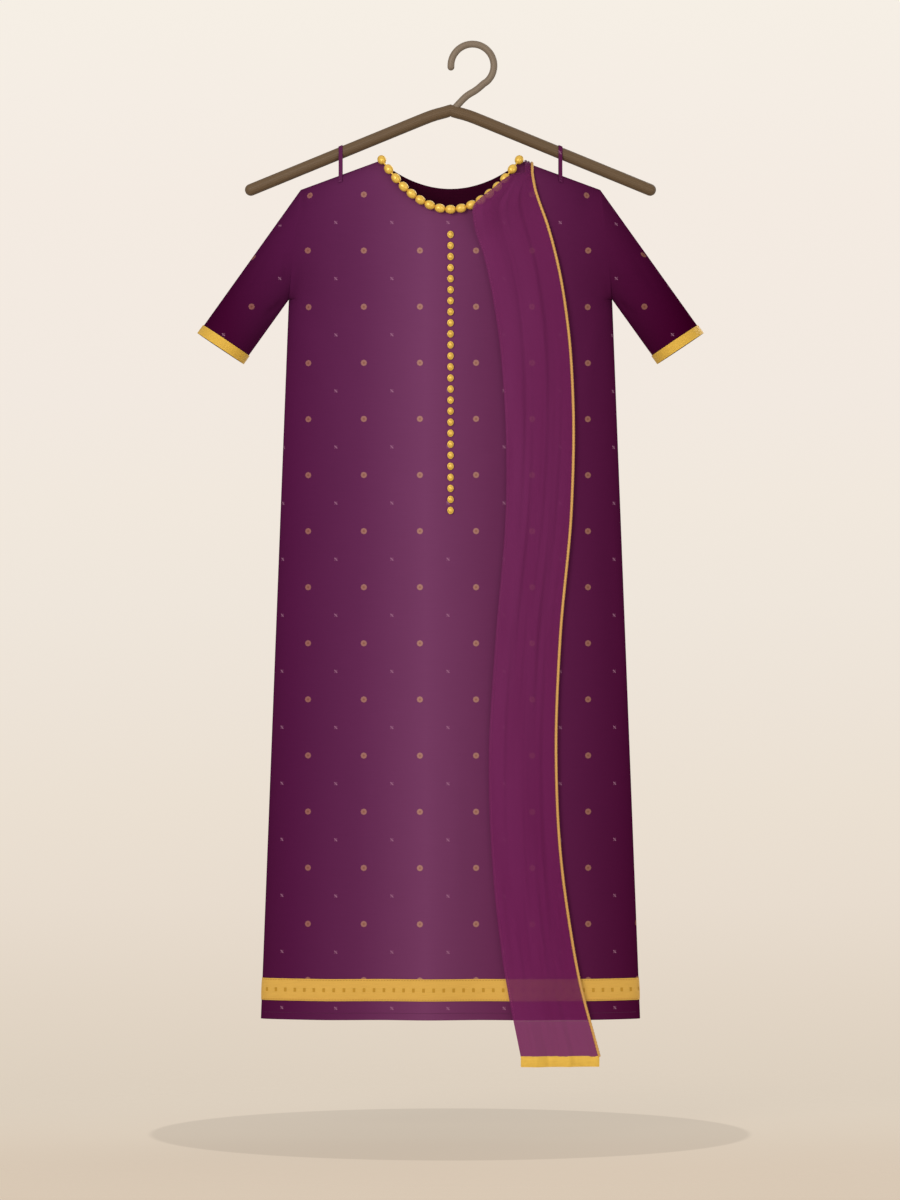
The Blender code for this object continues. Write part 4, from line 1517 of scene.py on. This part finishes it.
@dataclass(frozen=True)
class GoldTrim:
    """The beads along the front neckline and the row of buttons below them.

    Attributes:
        bead_radius: of a bead, round the string.
        bead_inset: from a neck point to the first bead's middle.
        bead_turn: how far its profile runs to either side, in half turns.
        bead_power: of the cosine that is its profile.
        thread: radius of the string.
        laid_gap: between the gold and the silk.
        button_half: half of a button's width, height and depth.
    """

    form: KameezForm = KameezForm()
    beads: int = 17
    bead_radius: float = 0.0057
    bead_inset: float = 0.0060
    bead_turn: float = 0.47
    bead_power: float = 0.86
    thread: float = 0.0011
    laid_gap: float = 0.0004
    buttons: int = 26
    button_top: float = -0.2454
    button_pitch: float = 0.01432
    button_half: Triple = (0.0041, 0.0048, 0.0022)
    sides: int = 28

    def build(self, gilt: Material) -> None:
        """Makes the bead string and the buttons.

        Args:
            gilt: what all of them are made of.
        """
        piece("neck_bead_string", self.bead_string(), [gilt], ["neck_beads"])
        names = [f"button_{number + 1:02d}" for number in range(self.buttons)]
        piece("placket_buttons", self.button_row(), [gilt], names, crease_angle=70.0)

    def bead_string(self) -> Patch:
        """Oval beads a pitch apart along the neckline, on one thread.

        A bead's radius is the cosine of its turn to a power, and its height the turn's sine.

        Returns:
            The beads and the thread.
        """
        x = np.linspace(-self.form.neck_half, self.form.neck_half, 500)
        z = self.form.neckline(x, Facing.FRONT)
        path, out = self.form.surface(x, z, Facing.FRONT, self.bead_radius + self.laid_gap)
        run = run_of(stacked(x, 0.0, z))
        pitch = (run[-1] - 2.0 * self.bead_inset) / (self.beads - 1)
        at = self.bead_inset + pitch * np.arange(self.beads)
        turn = np.linspace(-self.bead_turn, self.bead_turn, 17) * math.pi
        heights = (0.5 * pitch - 0.0001) * np.sin(turn) / np.sin(turn[-1])
        bead = turned(self.bead_radius * np.cos(turn) ** self.bead_power, heights, self.sides)
        line = along(path, run, np.linspace(at[0], at[-1], 160))
        return joined([strung(bead, path, out, run, at, 0.001), carried(line, self.thread, 8, DEEP)])

    def button_row(self) -> Patch:
        """Shapes oval domed buttons: a flat back, a rolled rim, a groove and a dome inside it.

        Returns:
            All of them, down the front.
        """
        rim = np.linspace(-0.5, 0.5, 7) * math.pi
        dome = np.linspace(0.08, 0.5, 8) * math.pi
        dome_r = 0.76 * np.cos(dome) / np.cos(dome[0])
        dome_z = 0.05 + 0.95 * (np.sin(dome) - np.sin(dome[0])) / (1.0 - np.sin(dome[0]))
        radii = np.concatenate([[0.5], 0.88 + 0.12 * np.cos(rim), [0.80, 0.76], dome_r[:-1]])
        heights = np.concatenate([[-1.0], -0.35 + 0.30 * np.sin(rim), [-0.02, 0.02], dome_z[:-1]])
        z = self.button_top - self.button_pitch * np.arange(self.buttons)
        lift = self.laid_gap + self.button_half[2]
        places, out = self.form.surface(0.0 * z, z, Facing.FRONT, lift)
        up = unit(np.cross(out, ACROSS))
        axes = np.stack([np.cross(up, out), up, out], axis=1) * np.array(self.button_half)[:, None]
        return copies(turned(radii, heights, self.sides), places, axes)


# ------------ the dupatta
EDGES = {  # rows of height, plain edge and piped edge, both from the kameez's centre line
    Facing.FRONT: (
        (-0.1655, 0.0965, 0.1062),
        (-0.1740, 0.0725, 0.1072),
        (-0.1880, 0.0525, 0.1100),
        (-0.2080, 0.0300, 0.1168),
        (-0.2250, 0.0295, 0.1230),
        (-0.2780, 0.0445, 0.1378),
        (-0.3570, 0.0598, 0.1515),
        (-0.4640, 0.0702, 0.1591),
        (-0.6000, 0.0718, 0.1570),
        (-0.7700, 0.0585, 0.1421),
        (-0.9200, 0.0500, 0.1368),
        (-1.0560, 0.0540, 0.1432),
        (-1.1340, 0.0610, 0.1533),
        (-1.2110, 0.0715, 0.1668),
        (-1.3115, 0.0910, 0.1930),
    ),
    Facing.BACK: (
        (-0.1655, 0.0965, 0.1062),
        (-0.2200, 0.0810, 0.1200),
        (-0.3400, 0.0640, 0.1440),
        (-0.6000, 0.0520, 0.1500),
        (-0.9000, 0.0560, 0.1560),
        (-1.1900, 0.0620, 0.1640),
    ),
}


@dataclass
class Dupatta:
    """The dupatta as one cloth: it hangs down the front, is pleated over the shoulder and hangs behind.

    Attributes:
        sheer: thickness of the cloth.
        packed_sheer: thickness of the solid, whose middle the cloth follows.
        map_width: width of its map.
        cut_width: its width as it was cut.
        top: height, plain edge and piped edge where it leaves the shoulder.
        top_lift: height over the kameez below the gather.
        hang_lift: height over it where the cloth hangs free.
        bead_lift: how much higher it lies over the beads.
        bead_reach: how far from the neckline that is whole, and where it has gone.
        bead_rise: height over which it comes, and how much more at the piped edge.
        top_gap: how far above the top that starts.
        lift_ease: height over which the cloth comes free of the shoulder.
        fold_count: folds across the cloth.
        fold_out: how far a fold stands out.
        fold_ease: height over which the folds grow.
        fold_sway: how much their depth varies on the way down.
        fold_sway_turn: how fast, in radians a metre.
        pleat_lift: height over the kameez at the gather.
        pleat_depth: how high a pleat stands there.
        pleat_lean: how far it leans across.
        pleat_ease: height over which the pleats open out.
        piping_core: radius of the cord.
        strand: how far its strands stand out.
        lay: along the cord, for one turn of them.
        tuck: from the cord's middle to the cloth's edge inside it.
        end_band: how far an end border goes down from the cloth's end.
        band_tuck: how far it goes up over the cloth.
        band_thickness: its thickness.
        close_rows: of the grid, where the folds grow.
        hang_rows: below that, in front and behind.
        over_rows: over the shoulder.
    """

    form: KameezForm = KameezForm()
    sheer: float = 0.0007
    packed_sheer: float = 0.0011
    map_width: float = 0.105
    cut_width: float = 0.106
    top: Triple = EDGES[Facing.FRONT][0]
    top_lift: float = 0.0024
    hang_lift: float = 0.0036
    bead_lift: float = 0.0102
    bead_reach: tuple[float, float] = (0.0065, 0.0500)
    bead_rise: tuple[float, float] = (0.0060, 0.0300)
    top_gap: float = 0.0006
    lift_ease: float = 0.0500
    fold_count: float = 2.5
    fold_out: float = 0.0042
    fold_ease: float = 0.1600
    fold_sway: float = 0.25
    fold_sway_turn: float = 4.0
    pleat_lift: float = 0.0009
    pleat_depth: float = 0.0016
    pleat_lean: float = 0.0012
    pleat_ease: float = 0.1200
    piping_core: float = 0.0018
    piping_sides: int = 12
    strand: float = 0.00022
    lay: float = 0.0042
    tuck: float = 0.0012
    end_band: float = 0.0130
    band_tuck: float = 0.0010
    band_thickness: float = 0.0024
    columns: int = 84
    close_rows: int = 60
    hang_rows: tuple[int, int] = (130, 100)
    over_rows: int = 33

    def pleated(self, share: Array, gathered: Array | float) -> tuple[Array, Array]:
        """How the pleats lean across and stand out.

        The lean is a sine and the height a cosine a quarter turn behind it, so that each pleat lies over
        the next. Neither reaches the piped edge.

        Args:
            share: places across the cloth.
            gathered: 1 where the pleats are whole, 0 where they have opened out.

        Returns:
            The lean and the height.
        """
        phase = TURN * self.fold_count * share
        hold = np.clip(np.sin(math.pi * share), 0.0, 1.0) ** 0.6
        lean = gathered * self.pleat_lean * np.sin(phase) * hold
        return lean, gathered * self.pleat_depth * (0.5 - 0.5 * np.cos(phase - 0.5 * math.pi * gathered))

    def hanging(self, share: Array, heights: Array, facing: Facing, inset: float) -> Array:
        """Middle of the cloth where it hangs: its place across, off the kameez by its folds and ripples.

        Args:
            share: places across the cloth, 0 at its plain edge and 1 at its piped edge.
            heights: one a row of the grid.
            facing: front or back.
            inset: how much narrower the cloth is than the table, at the piped edge.

        Returns:
            The points, rows by columns by 3.
        """
        form, z, below = self.form, heights[:, None], (self.top[0] - heights)[:, None]
        table = np.array(EDGES[facing])
        plain, piped = cubic(-table[:, 0], table[:, 1:], -heights).T[..., None]
        gathered = 1.0 - smooth(below / self.pleat_ease)
        lean, stand = self.pleated(share, gathered)
        x = plain + (piped - inset - plain) * share + lean
        free = smooth(below / self.lift_ease)
        lift = self.top_lift + (self.hang_lift - self.top_lift) * free + self.packed_sheer / 2.0
        lift = lift + gathered * (self.pleat_lift - self.top_lift) + stand
        if facing is Facing.FRONT:
            lift = lift + self.over_beads(x, z, share)
        wave = 0.5 - 0.5 * np.cos(TURN * self.fold_count * share)
        sway = 1.0 - self.fold_sway * (1.0 - np.cos(self.fold_sway_turn * z))
        lift = lift + self.fold_out * wave * smooth(below / self.fold_ease) * sway
        lift = lift + self.ripples(share, z, facing) * free
        _, normal = form.roll_lean(x, form.roll_angle(form.shoulder_line(x) - z))
        depth = form.depth(x, np.maximum(z, form.hem_z), facing) + form.seam_gap / 2.0
        y = facing.value * (depth + lift * normal[..., 1])
        return stacked(x, y, z + lift * normal[..., 2])

    def over_beads(self, x: Array, z: Array, share: Array) -> Array:
        """The cloth's lift over the beads.

        It is whole up to one distance from the neckline and none beyond another, and rises from the
        gather, later towards the piped edge.

        Args:
            x: places across, from the centre line.
            z: heights.
            share: places across the cloth.

        Returns:
            The lifts.
        """
        form = self.form
        slope = 2.0 * FRONT.neck_drop * x / form.neck_half**2
        away = (form.neckline(x, Facing.FRONT) - z) / np.sqrt(1.0 + slope**2)
        near, far = self.bead_reach
        rise = smooth((self.top[0] + self.top_gap - z) / (self.bead_rise[0] + self.bead_rise[1] * share))
        return self.bead_lift * rise * (1.0 - smooth((away - near) / (far - near)))

    def ripples(self, share: Array, z: Array, facing: Facing) -> Array:
        """Small uneven ripples between the folds, which lean as they fall, and a curl at the plain edge.

        They are two sines whose phases sway with the height, and none at the piped edge.

        Args:
            share: places across the cloth.
            z: heights.
            facing: front or back.

        Returns:
            Their heights.
        """
        fine = 0.00070 * np.sin(TURN * (5.3 * share + 0.9 * z * facing.value) + 3.0 * np.sin(5.0 * z))
        finer = 0.00035 * np.sin(TURN * (9.1 * share - 1.7 * z) + 2.0 * np.sin(9.0 * z + 1.0))
        curl = 0.0012 * bell(share / 0.035) * (0.6 + 0.4 * np.sin(14.0 * z))
        return (fine + finer) * np.sin(math.pi * share) ** 0.5 + curl

    def over(self, share: Array, turn: Array, inset: float) -> Array:
        """Middle of the cloth over the shoulder.

        Args:
            share: places across the cloth.
            turn: from -1 at the front to 1 at the back, one a row of the grid.
            inset: how much narrower the cloth is than the table, at the piped edge.

        Returns:
            The points, rows by columns by 3.
        """
        z, plain, piped = self.top
        lean, stand = self.pleated(share, 1.0)
        x = plain + (piped - inset - plain) * share + lean
        angle = turn[:, None] * self.form.roll_angle(self.form.shoulder_line(x) - z)
        return self.form.over_shoulder(x, angle, self.pleat_lift + self.packed_sheer / 2.0 + stand)

    def middle(self, share: Array, inset: float) -> Array:
        """Lays the whole cloth, from its front end over the shoulder to its back end.

        Args:
            share: places across, from the plain edge to the piped one.
            inset: how far the piped edge is drawn in.

        Returns:
            Points in its middle.
        """
        stretches = []
        close = np.linspace(0.0, self.fold_ease, self.close_rows)[:-1]
        for facing, rows in zip(Facing, self.hang_rows):
            drop = self.top[0] - EDGES[facing][-1][0]
            below = np.concatenate([close, np.linspace(self.fold_ease, drop, rows)])
            stretches.append(self.hanging(share, self.top[0] - below, facing, inset))
        over = self.over(share, np.linspace(-1.0, 1.0, self.over_rows)[1:-1], inset)
        return np.concatenate([stretches[0][::-1], over, stretches[1]])

    def build(self, sheer: SheerCloth, gold: GoldBorder, cord: Cord) -> None:
        """Makes the cloth, its piping, its end borders and its edge sewing.

        Args:
            sheer: the cloth's finish.
            gold: the end borders' finish.
            cord: the piping's finish.
        """
        share = np.linspace(0.0, 1.0, self.columns)
        middle = self.middle(share, self.tuck)
        centre = self.columns // 2
        half = 0.5 * self.sheer * aimed(grid_normals(middle), (0, centre, 1), -1.0)
        run = run_of(middle[:, centre])
        patch = shell(middle + half, middle - half, stacked(self.map_width * share, run[:, None]))
        nodes = ["dupatta_front", "dupatta_shoulder", "dupatta_back"]
        crepe = sheer.material(self.map_width, float(run[-1]))
        cloth = piece("dupatta_cloth", patch, [crepe], nodes, crease_angle=75.0)
        cloth.visible_shadow = False  # light passes it, so that what it covers shows through
        edge = self.middle(np.array([1.0]), 0.0)[:, 0]
        trim = [self.piping(edge, cord)]
        end_gold = gold.material("end border gold", False, "e6b845")
        trim += [self.end_border(facing, share, end_gold) for facing in Facing]
        trim.append(self.edge_sewing())

    def piping(self, edge: Array, cord: Cord) -> Thing:
        """Lays the gold cord along one long edge: a round section with two strands round it.

        Args:
            edge: the line that it is sewn along.
            cord: its finish.

        Returns:
            Its object.
        """
        run = run_of(edge)
        path = along(edge, run, np.linspace(0.0, run[-1], 2400))
        phase = 2.0 * turns(self.piping_sides) - TURN * run_of(path)[:, None] / self.lay
        tube = carried(path, self.piping_core, self.piping_sides, ACROSS, self.strand * np.cos(phase))
        return piece("dupatta_gold_piping", tube, [cord.material()], ["dupatta_piping"], 80.0)

    def end_border(self, facing: Facing, share: Array, gold: Material) -> Thing:
        """The gold border that closes one end: a flat tube folded over the cloth's last rows.

        Its thickness is the root of a sine, down from the fold.

        Args:
            facing: which end.
            share: places across the cloth.
            gold: its material.

        Returns:
            The border.
        """
        foot = EDGES[facing][-1][0]
        heights = foot + self.band_tuck - np.linspace(0.0, self.end_band + self.band_tuck, 9)
        middle = self.hanging(share, heights, facing, 0.0)
        soft = np.sqrt(np.clip(np.sin(np.linspace(0.12, math.pi - 0.12, len(heights))), 0.0, 1.0))
        half = 0.5 * self.band_thickness * soft[:, None, None] * facing.value * np.array(DEEP)
        patch = shell(middle + half, middle - half, stacked(self.map_width * share, heights[:, None]))
        node = f"dupatta_end_{facing.word}"
        return piece(f"dupatta_border_{facing.word}", patch, [gold], [node])

    def edge_sewing(self) -> Thing:
        """Sews a row of fine stitches beside the dupatta's plain edge, all along it.

        Returns:
            Its object.
        """
        grid = self.middle(np.array([0.020, 0.024, 0.028]), self.tuck)
        out = aimed(grid_normals(grid), (0, 1, 1), -1.0)[:, 1]
        path = grid[:, 1] + 0.55 * self.sheer * out
        row = Stitching(length=0.0022, gap=0.0014, radius=0.00022).row(path, out)
        return piece("dupatta_stitches", row, [Thread("magenta thread", "8a3a68").material()])


# ------------ the hanger
@dataclass(frozen=True)
class Hanger:
    """The wooden arms, the hook, and the two tapes that carry the kameez.

    Attributes:
        arm_half: half of the hanger's width.
        apex_z: height of the arms' middle line where they meet.
        end_z: its height at their ends.
        bend: how far the meeting point is rounded down, and how wide that is.
        hook_radius: of the crook's middle line.
        rod: radius of the hook's rod.
        tip_drop: length of the straight tip.
        end_turn: where on its circle the crook ends.
        hook_neck: points of the neck, from the crook into the wood.
        loop_x: from the centre line to a tape.
        loop_gap: between it and what it lies on.
        loop_ends: how far below the shoulder seam it starts and leaves the cloth.
        map_drop: where its map starts, up the silk's.
    """

    form: KameezForm = KameezForm()
    arm_half: float = 0.2600
    apex_z: float = -0.0787
    end_z: float = -0.1853
    arm_radius: float = 0.0078
    arm_sides: int = 40
    bend: tuple[float, float] = (0.0030, 0.01716)
    hook_radius: float = 0.0280
    rod: float = 0.00455
    rod_sides: int = 24
    tip_drop: float = 0.0065
    end_turn: float = -0.27 * math.pi
    hook_neck: tuple[Triple, ...] = (
        (0.0354, 0.0, -0.0538),
        (0.0237, 0.0, -0.0612),
        (0.0180, 0.0, -0.0658),
        (0.0115, 0.0, -0.0725),
        (0.0055, 0.0, -0.0790),
    )
    loop_x: float = 0.1430
    loop_width: float = 0.0050
    tape: float = 0.0009
    loop_gap: float = 0.0003
    loop_ends: tuple[float, float] = (0.0110, 0.0040)
    map_drop: float = 0.31

    def build(self, wood: Wood, steel: HookSteel, silk: Material) -> None:
        """Makes the arms, the hook and the tapes.

        Args:
            wood: the arms' finish.
            steel: the hook's finish.
            silk: the tapes' material.
        """
        piece("hanger_wood_arms", self.arms(), [wood.material()], ["hanger_arms"])
        piece("hanger_steel_hook", self.hook(), [steel.material()], ["hanger_hook"])
        for hand in Hand:
            patch, stitches = self.loop(hand)
            piece(f"hanging_tape_{hand.word}", patch, [silk], [f"hanging_loop_{hand.word}"])
            thread = Thread(f"tape thread {hand.word}", "8a5576").material()
            piece(f"tape_stitches_{hand.word}", stitches, [thread])

    def arm_height(self, x: Array) -> Array:
        """Height of the arms' middle line at x: two straight slopes."""
        return self.apex_z + (self.end_z - self.apex_z) * np.abs(x) / self.arm_half

    def round_end(self, radius: float, steps: int) -> tuple[Array, Array]:
        """Distances from a rod's end, and the radii there that round it off as a quarter circle."""
        turn = np.linspace(0.0, math.pi / 2.0, steps + 1)[1:]
        return radius * (1.0 - np.cos(turn)), radius * np.sin(turn)

    def steepness(self) -> float:
        """How much longer an arm is than its reach across."""
        return math.hypot(1.0, (self.end_z - self.apex_z) / self.arm_half)

    def arms(self) -> Patch:
        """Shapes one chevron of turned wood: a round section along two slopes that meet in a soft bend.

        Returns:
            A closed rod.
        """
        into, radii = self.round_end(self.arm_radius, 9)
        reach = self.arm_half + (self.arm_radius - into) / self.steepness()
        inner = np.linspace(-reach[-1], reach[-1], 141)[1:-1]
        x = np.concatenate([-reach, inner, reach[::-1]])
        drop, width = self.bend
        path = stacked(x, 0.0, self.arm_height(x) - drop * bell(x / width))
        sizes = np.concatenate([radii, np.full(len(inner), self.arm_radius), radii[::-1]])
        return carried(path, sizes, self.arm_sides, DEEP)

    def hook(self) -> Patch:
        """Bends a round rod: a straight tip, most of a circle, and a neck that goes down into the wood.

        Returns:
            A closed rod.
        """
        turn = np.linspace(math.pi, self.end_turn, 49)
        centre = np.array((-CENTRE_X, 0.0, self.rod - self.hook_radius))
        crook = centre + self.hook_radius * stacked(np.cos(turn), 0.0, np.sin(turn))
        into, radii = self.round_end(self.rod, 6)
        tip = crook[0] + stacked(0.0, 0.0, into - self.tip_drop)
        knots = np.array([crook[-4], *self.hook_neck])
        beats = np.arange(len(knots), dtype=float)
        neck = cubic(beats, knots, np.linspace(0.0, beats[-1], 60))[6:]
        path = np.concatenate([tip, crook, neck])
        sizes = np.concatenate([radii, np.full(len(path) - len(radii), self.rod)])
        return carried(path, sizes, self.rod_sides, DEEP)

    def loop(self, hand: Hand) -> tuple[Patch, Patch]:
        """A narrow tape sewn below the shoulder seam on both sides, and carried over an arm.

        Half of it is worked out: on the shoulder's roll, straight up, and a quarter turn round the arm.
        The other half mirrors it.

        Args:
            hand: which tape.

        Returns:
            The tape, and the crossed stitches at its two ends.
        """
        form = self.form
        x = hand.value * self.loop_x + self.loop_width * np.linspace(-0.5, 0.5, 7)
        angle = -form.roll_angle(np.linspace(*self.loop_ends, 10))[:, None]
        leg = form.over_shoulder(x, angle, self.loop_gap)
        turn = np.linspace(math.pi, 0.5 * math.pi, 18)[:, None]
        rise = self.arm_radius * self.steepness() + self.loop_gap
        y = (self.arm_radius + self.loop_gap) * np.cos(turn)
        top = stacked(x, y, self.arm_height(x) + rise * np.sin(turn))
        share = np.linspace(0.0, 1.0, 14)[1:-1, None, None]
        half = np.concatenate([leg, leg[-1] + share * (top[0] - leg[-1]), top])
        inner = np.concatenate([half, half[-2::-1] * (1.0, -1.0, 1.0)])
        out = aimed(grid_normals(inner), (len(inner) // 2, 3, 2), 1.0)
        flat = stacked(x + CENTRE_X, run_of(inner[:, 3])[:, None] + self.map_drop)
        stitches = Stitching(length=0.0011, gap=0.0005, radius=0.00025)
        rows = []
        for row in (2, -3, 7, -8):  # two across each end of the tape
            path = inner[row] + 1.05 * self.tape * out[row]
            rows.append(stitches.row(path[1:-1], out[row, 1:-1]))
        return shell(inner + self.tape * out, inner, flat), joined(rows)


# ------------ the stage
@dataclass(frozen=True)
class Lamp:
    """One soft square light, turned towards the middle of the view."""

    name: str
    place: Triple
    size: float
    power: float

    def build(self, aim: Triple) -> None:
        """Hangs it in its place.

        Args:
            aim: the point that it faces.
        """
        data = bpy.data.lights.new(self.name, "AREA")
        data.size = self.size
        data.energy = self.power
        lamp = bpy.data.objects.new(self.name, data)
        lamp.location = self.place
        x, y, z = np.subtract(aim, self.place)
        lamp.rotation_euler = (math.atan2(math.hypot(x, y), -z), 0.0, math.atan2(-x, y))
        bpy.context.scene.collection.objects.link(lamp)


@dataclass(frozen=True)
class Studio:
    """The camera straight in front, the soft lights, the pale floor and the paler air behind.

    Attributes:
        distance: from the garment to the camera.
        frame_height: the view's height at the garment.
        centre: the middle of the view, across and up.
        lamps: the lights.
        air_tones: the air's colours, evenly spaced from the view's foot to its head.
        floor_z: the floor's height, well below the hem.
        floor_reach: where the floor has faded out.
        floor_tones: the floor's colours in front and behind, and its grain's.
        shade_reach: radius of the even round painted shadow below the garment.
        shade: what the painted shadow multiplies the floor's colour by.
    """

    distance: float = 8.0
    frame_height: float = 1.5630
    centre: tuple[float, float] = (-0.02925, -0.7195)
    lamps: tuple[Lamp, ...] = (
        Lamp("key", (-1.8, -3.6, 0.6), 2.0, 90.0),
        Lamp("fill", (2.6, -3.0, -0.3), 2.4, 31.0),
        Lamp("top", (-0.03, -0.20, 2.1), 3.0, 8.0),
        Lamp("behind", (1.9, 2.9, 0.7), 3.2, 62.0),
    )
    air_tones: str = (
        "d9c8b4 dccfbe e2d5c5 e8dcce ebe0d2 ede3d7 efe6db f1e8dd f2e9e0 f3eae1 f4ebe2 f5ede4 f6efe5"
    )
    floor_z: float = -1.4140
    floor_reach: float = 1.25
    floor_tones: tuple[str, str, str] = ("dac9b5", "e1d4c3", "cdbda8")
    # painted shadow on the floor below the garment: its radius and how much it darkens
    shade_reach: float = 0.390
    shade: float = 0.86

    def build(self) -> None:
        """Sets the camera, the lights, the air and the floor."""
        scene = bpy.context.scene
        scene.view_settings.view_transform = "Standard"
        camera = bpy.data.cameras.new("camera")
        camera.sensor_width = 36.0
        camera.lens = camera.sensor_width * self.distance / self.frame_height
        holder = bpy.data.objects.new("camera", camera)
        holder.location = (self.centre[0], -self.distance, self.centre[1])
        holder.rotation_euler = (math.pi / 2.0, 0.0, 0.0)
        scene.collection.objects.link(holder)
        scene.camera = holder
        for lamp in self.lamps:
            lamp.build((self.centre[0], 0.0, self.centre[1]))
        self.air()
        self.floor()

    def air(self) -> None:
        """The air behind: cream, deeper towards the floor. It lights less than it shows."""
        world = bpy.data.worlds.new("air")
        bpy.context.scene.world = world
        world.use_nodes = True
        graph = Graph(world.node_tree)
        height = graph.node("SeparateXYZ", {0: graph.node("TexCoord", {}, "Generated")}, 2)
        half = 0.5 * self.frame_height / self.distance
        shown = graph.node("MapRange", {0: height, 1: -half, 2: half}).ramp(self.air_tones)
        lit = graph.node("Background", {"Color": "fdfcfb", "Strength": 0.52})
        seen = graph.node("LightPath", {}, "Is Camera Ray")
        mixed = graph.node("MixShader", {0: seen, 1: lit, 2: graph.node("Background", {"Color": shown})})
        graph.put(world.node_tree.nodes["World Output"].inputs["Surface"], mixed)

    def floor(self) -> None:
        """A round pale floor: rings of points round its middle, closed by a fan there."""
        turn = turns(96)
        radii = self.floor_reach * np.linspace(0.02, 1.0, 24)[:, None]
        middle = np.array((self.centre[0], 0.0, self.floor_z))
        points = middle + stacked(radii * np.cos(turn), radii * np.sin(turn), 0.0)
        first = np.arange(len(turn))
        fan = stacked(first, np.roll(first, -1), len(radii) * len(turn))
        quads = lattice(len(radii), len(turn), True)[:, ::-1]
        mesh = bpy.data.meshes.new("floor")
        faces = quads.tolist() + fan.tolist()
        mesh.from_pydata([*points.reshape(-1, 3).tolist(), middle.tolist()], [], faces)
        mesh.materials.append(self.floor_finish())
        made = bpy.data.objects.new("floor", mesh)
        bpy.context.scene.collection.objects.link(made)

    def floor_finish(self) -> Material:
        """Mixes a floor that is mostly its own even light, so that it stays pale, with an even round painted
        shadow below the garment, and fades at its edge.

        Returns:
            Its material.
        """
        recipe = Recipe("pale floor", "d8c9b6", 0.85, Specular_IOR_Level=0.0, Emission_Strength=0.75)
        x, y, _ = recipe.place().parts()
        far = (x - self.centre[0]).far(y)
        front, behind, grain = self.floor_tones
        pale = recipe.mix(y.step(-0.8, 0.6), front, behind)
        pale = recipe.mix(recipe.place().noise((40.0, 40.0, 40.0), 3.0) * 0.04, pale, grain)
        # painted shadow: an even round darker disc on the floor below the garment
        in_painted_shadow = far.step(self.shade_reach + 0.006, self.shade_reach - 0.006)
        seen = recipe.mix(in_painted_shadow, pale, pale.dimmed(self.shade))
        recipe.set(Emission_Color=seen, Alpha=far.step(self.floor_reach * 0.98, 0.45))
        return recipe.finished(seen.dimmed(0.25))


# ------------ all of it
def main() -> None:
    """Builds the hanger, the garment and the stage."""
    logging.basicConfig(level=logging.INFO, format="%(message)s")
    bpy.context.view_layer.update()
    silk = PlumSilk()
    gold = GoldBorder()
    LOG.info("hanger")
    Hanger().build(Wood(), HookSteel(), silk.right_side())
    LOG.info("kameez")
    Kameez().build(silk, gold)
    LOG.info("gold trim")
    GoldTrim().build(GoldMetal().material())
    LOG.info("dupatta")
    Dupatta().build(SheerCloth(), gold, Cord())
    LOG.info("studio")
    Studio().build()


if __name__ == "__main__":
    main()
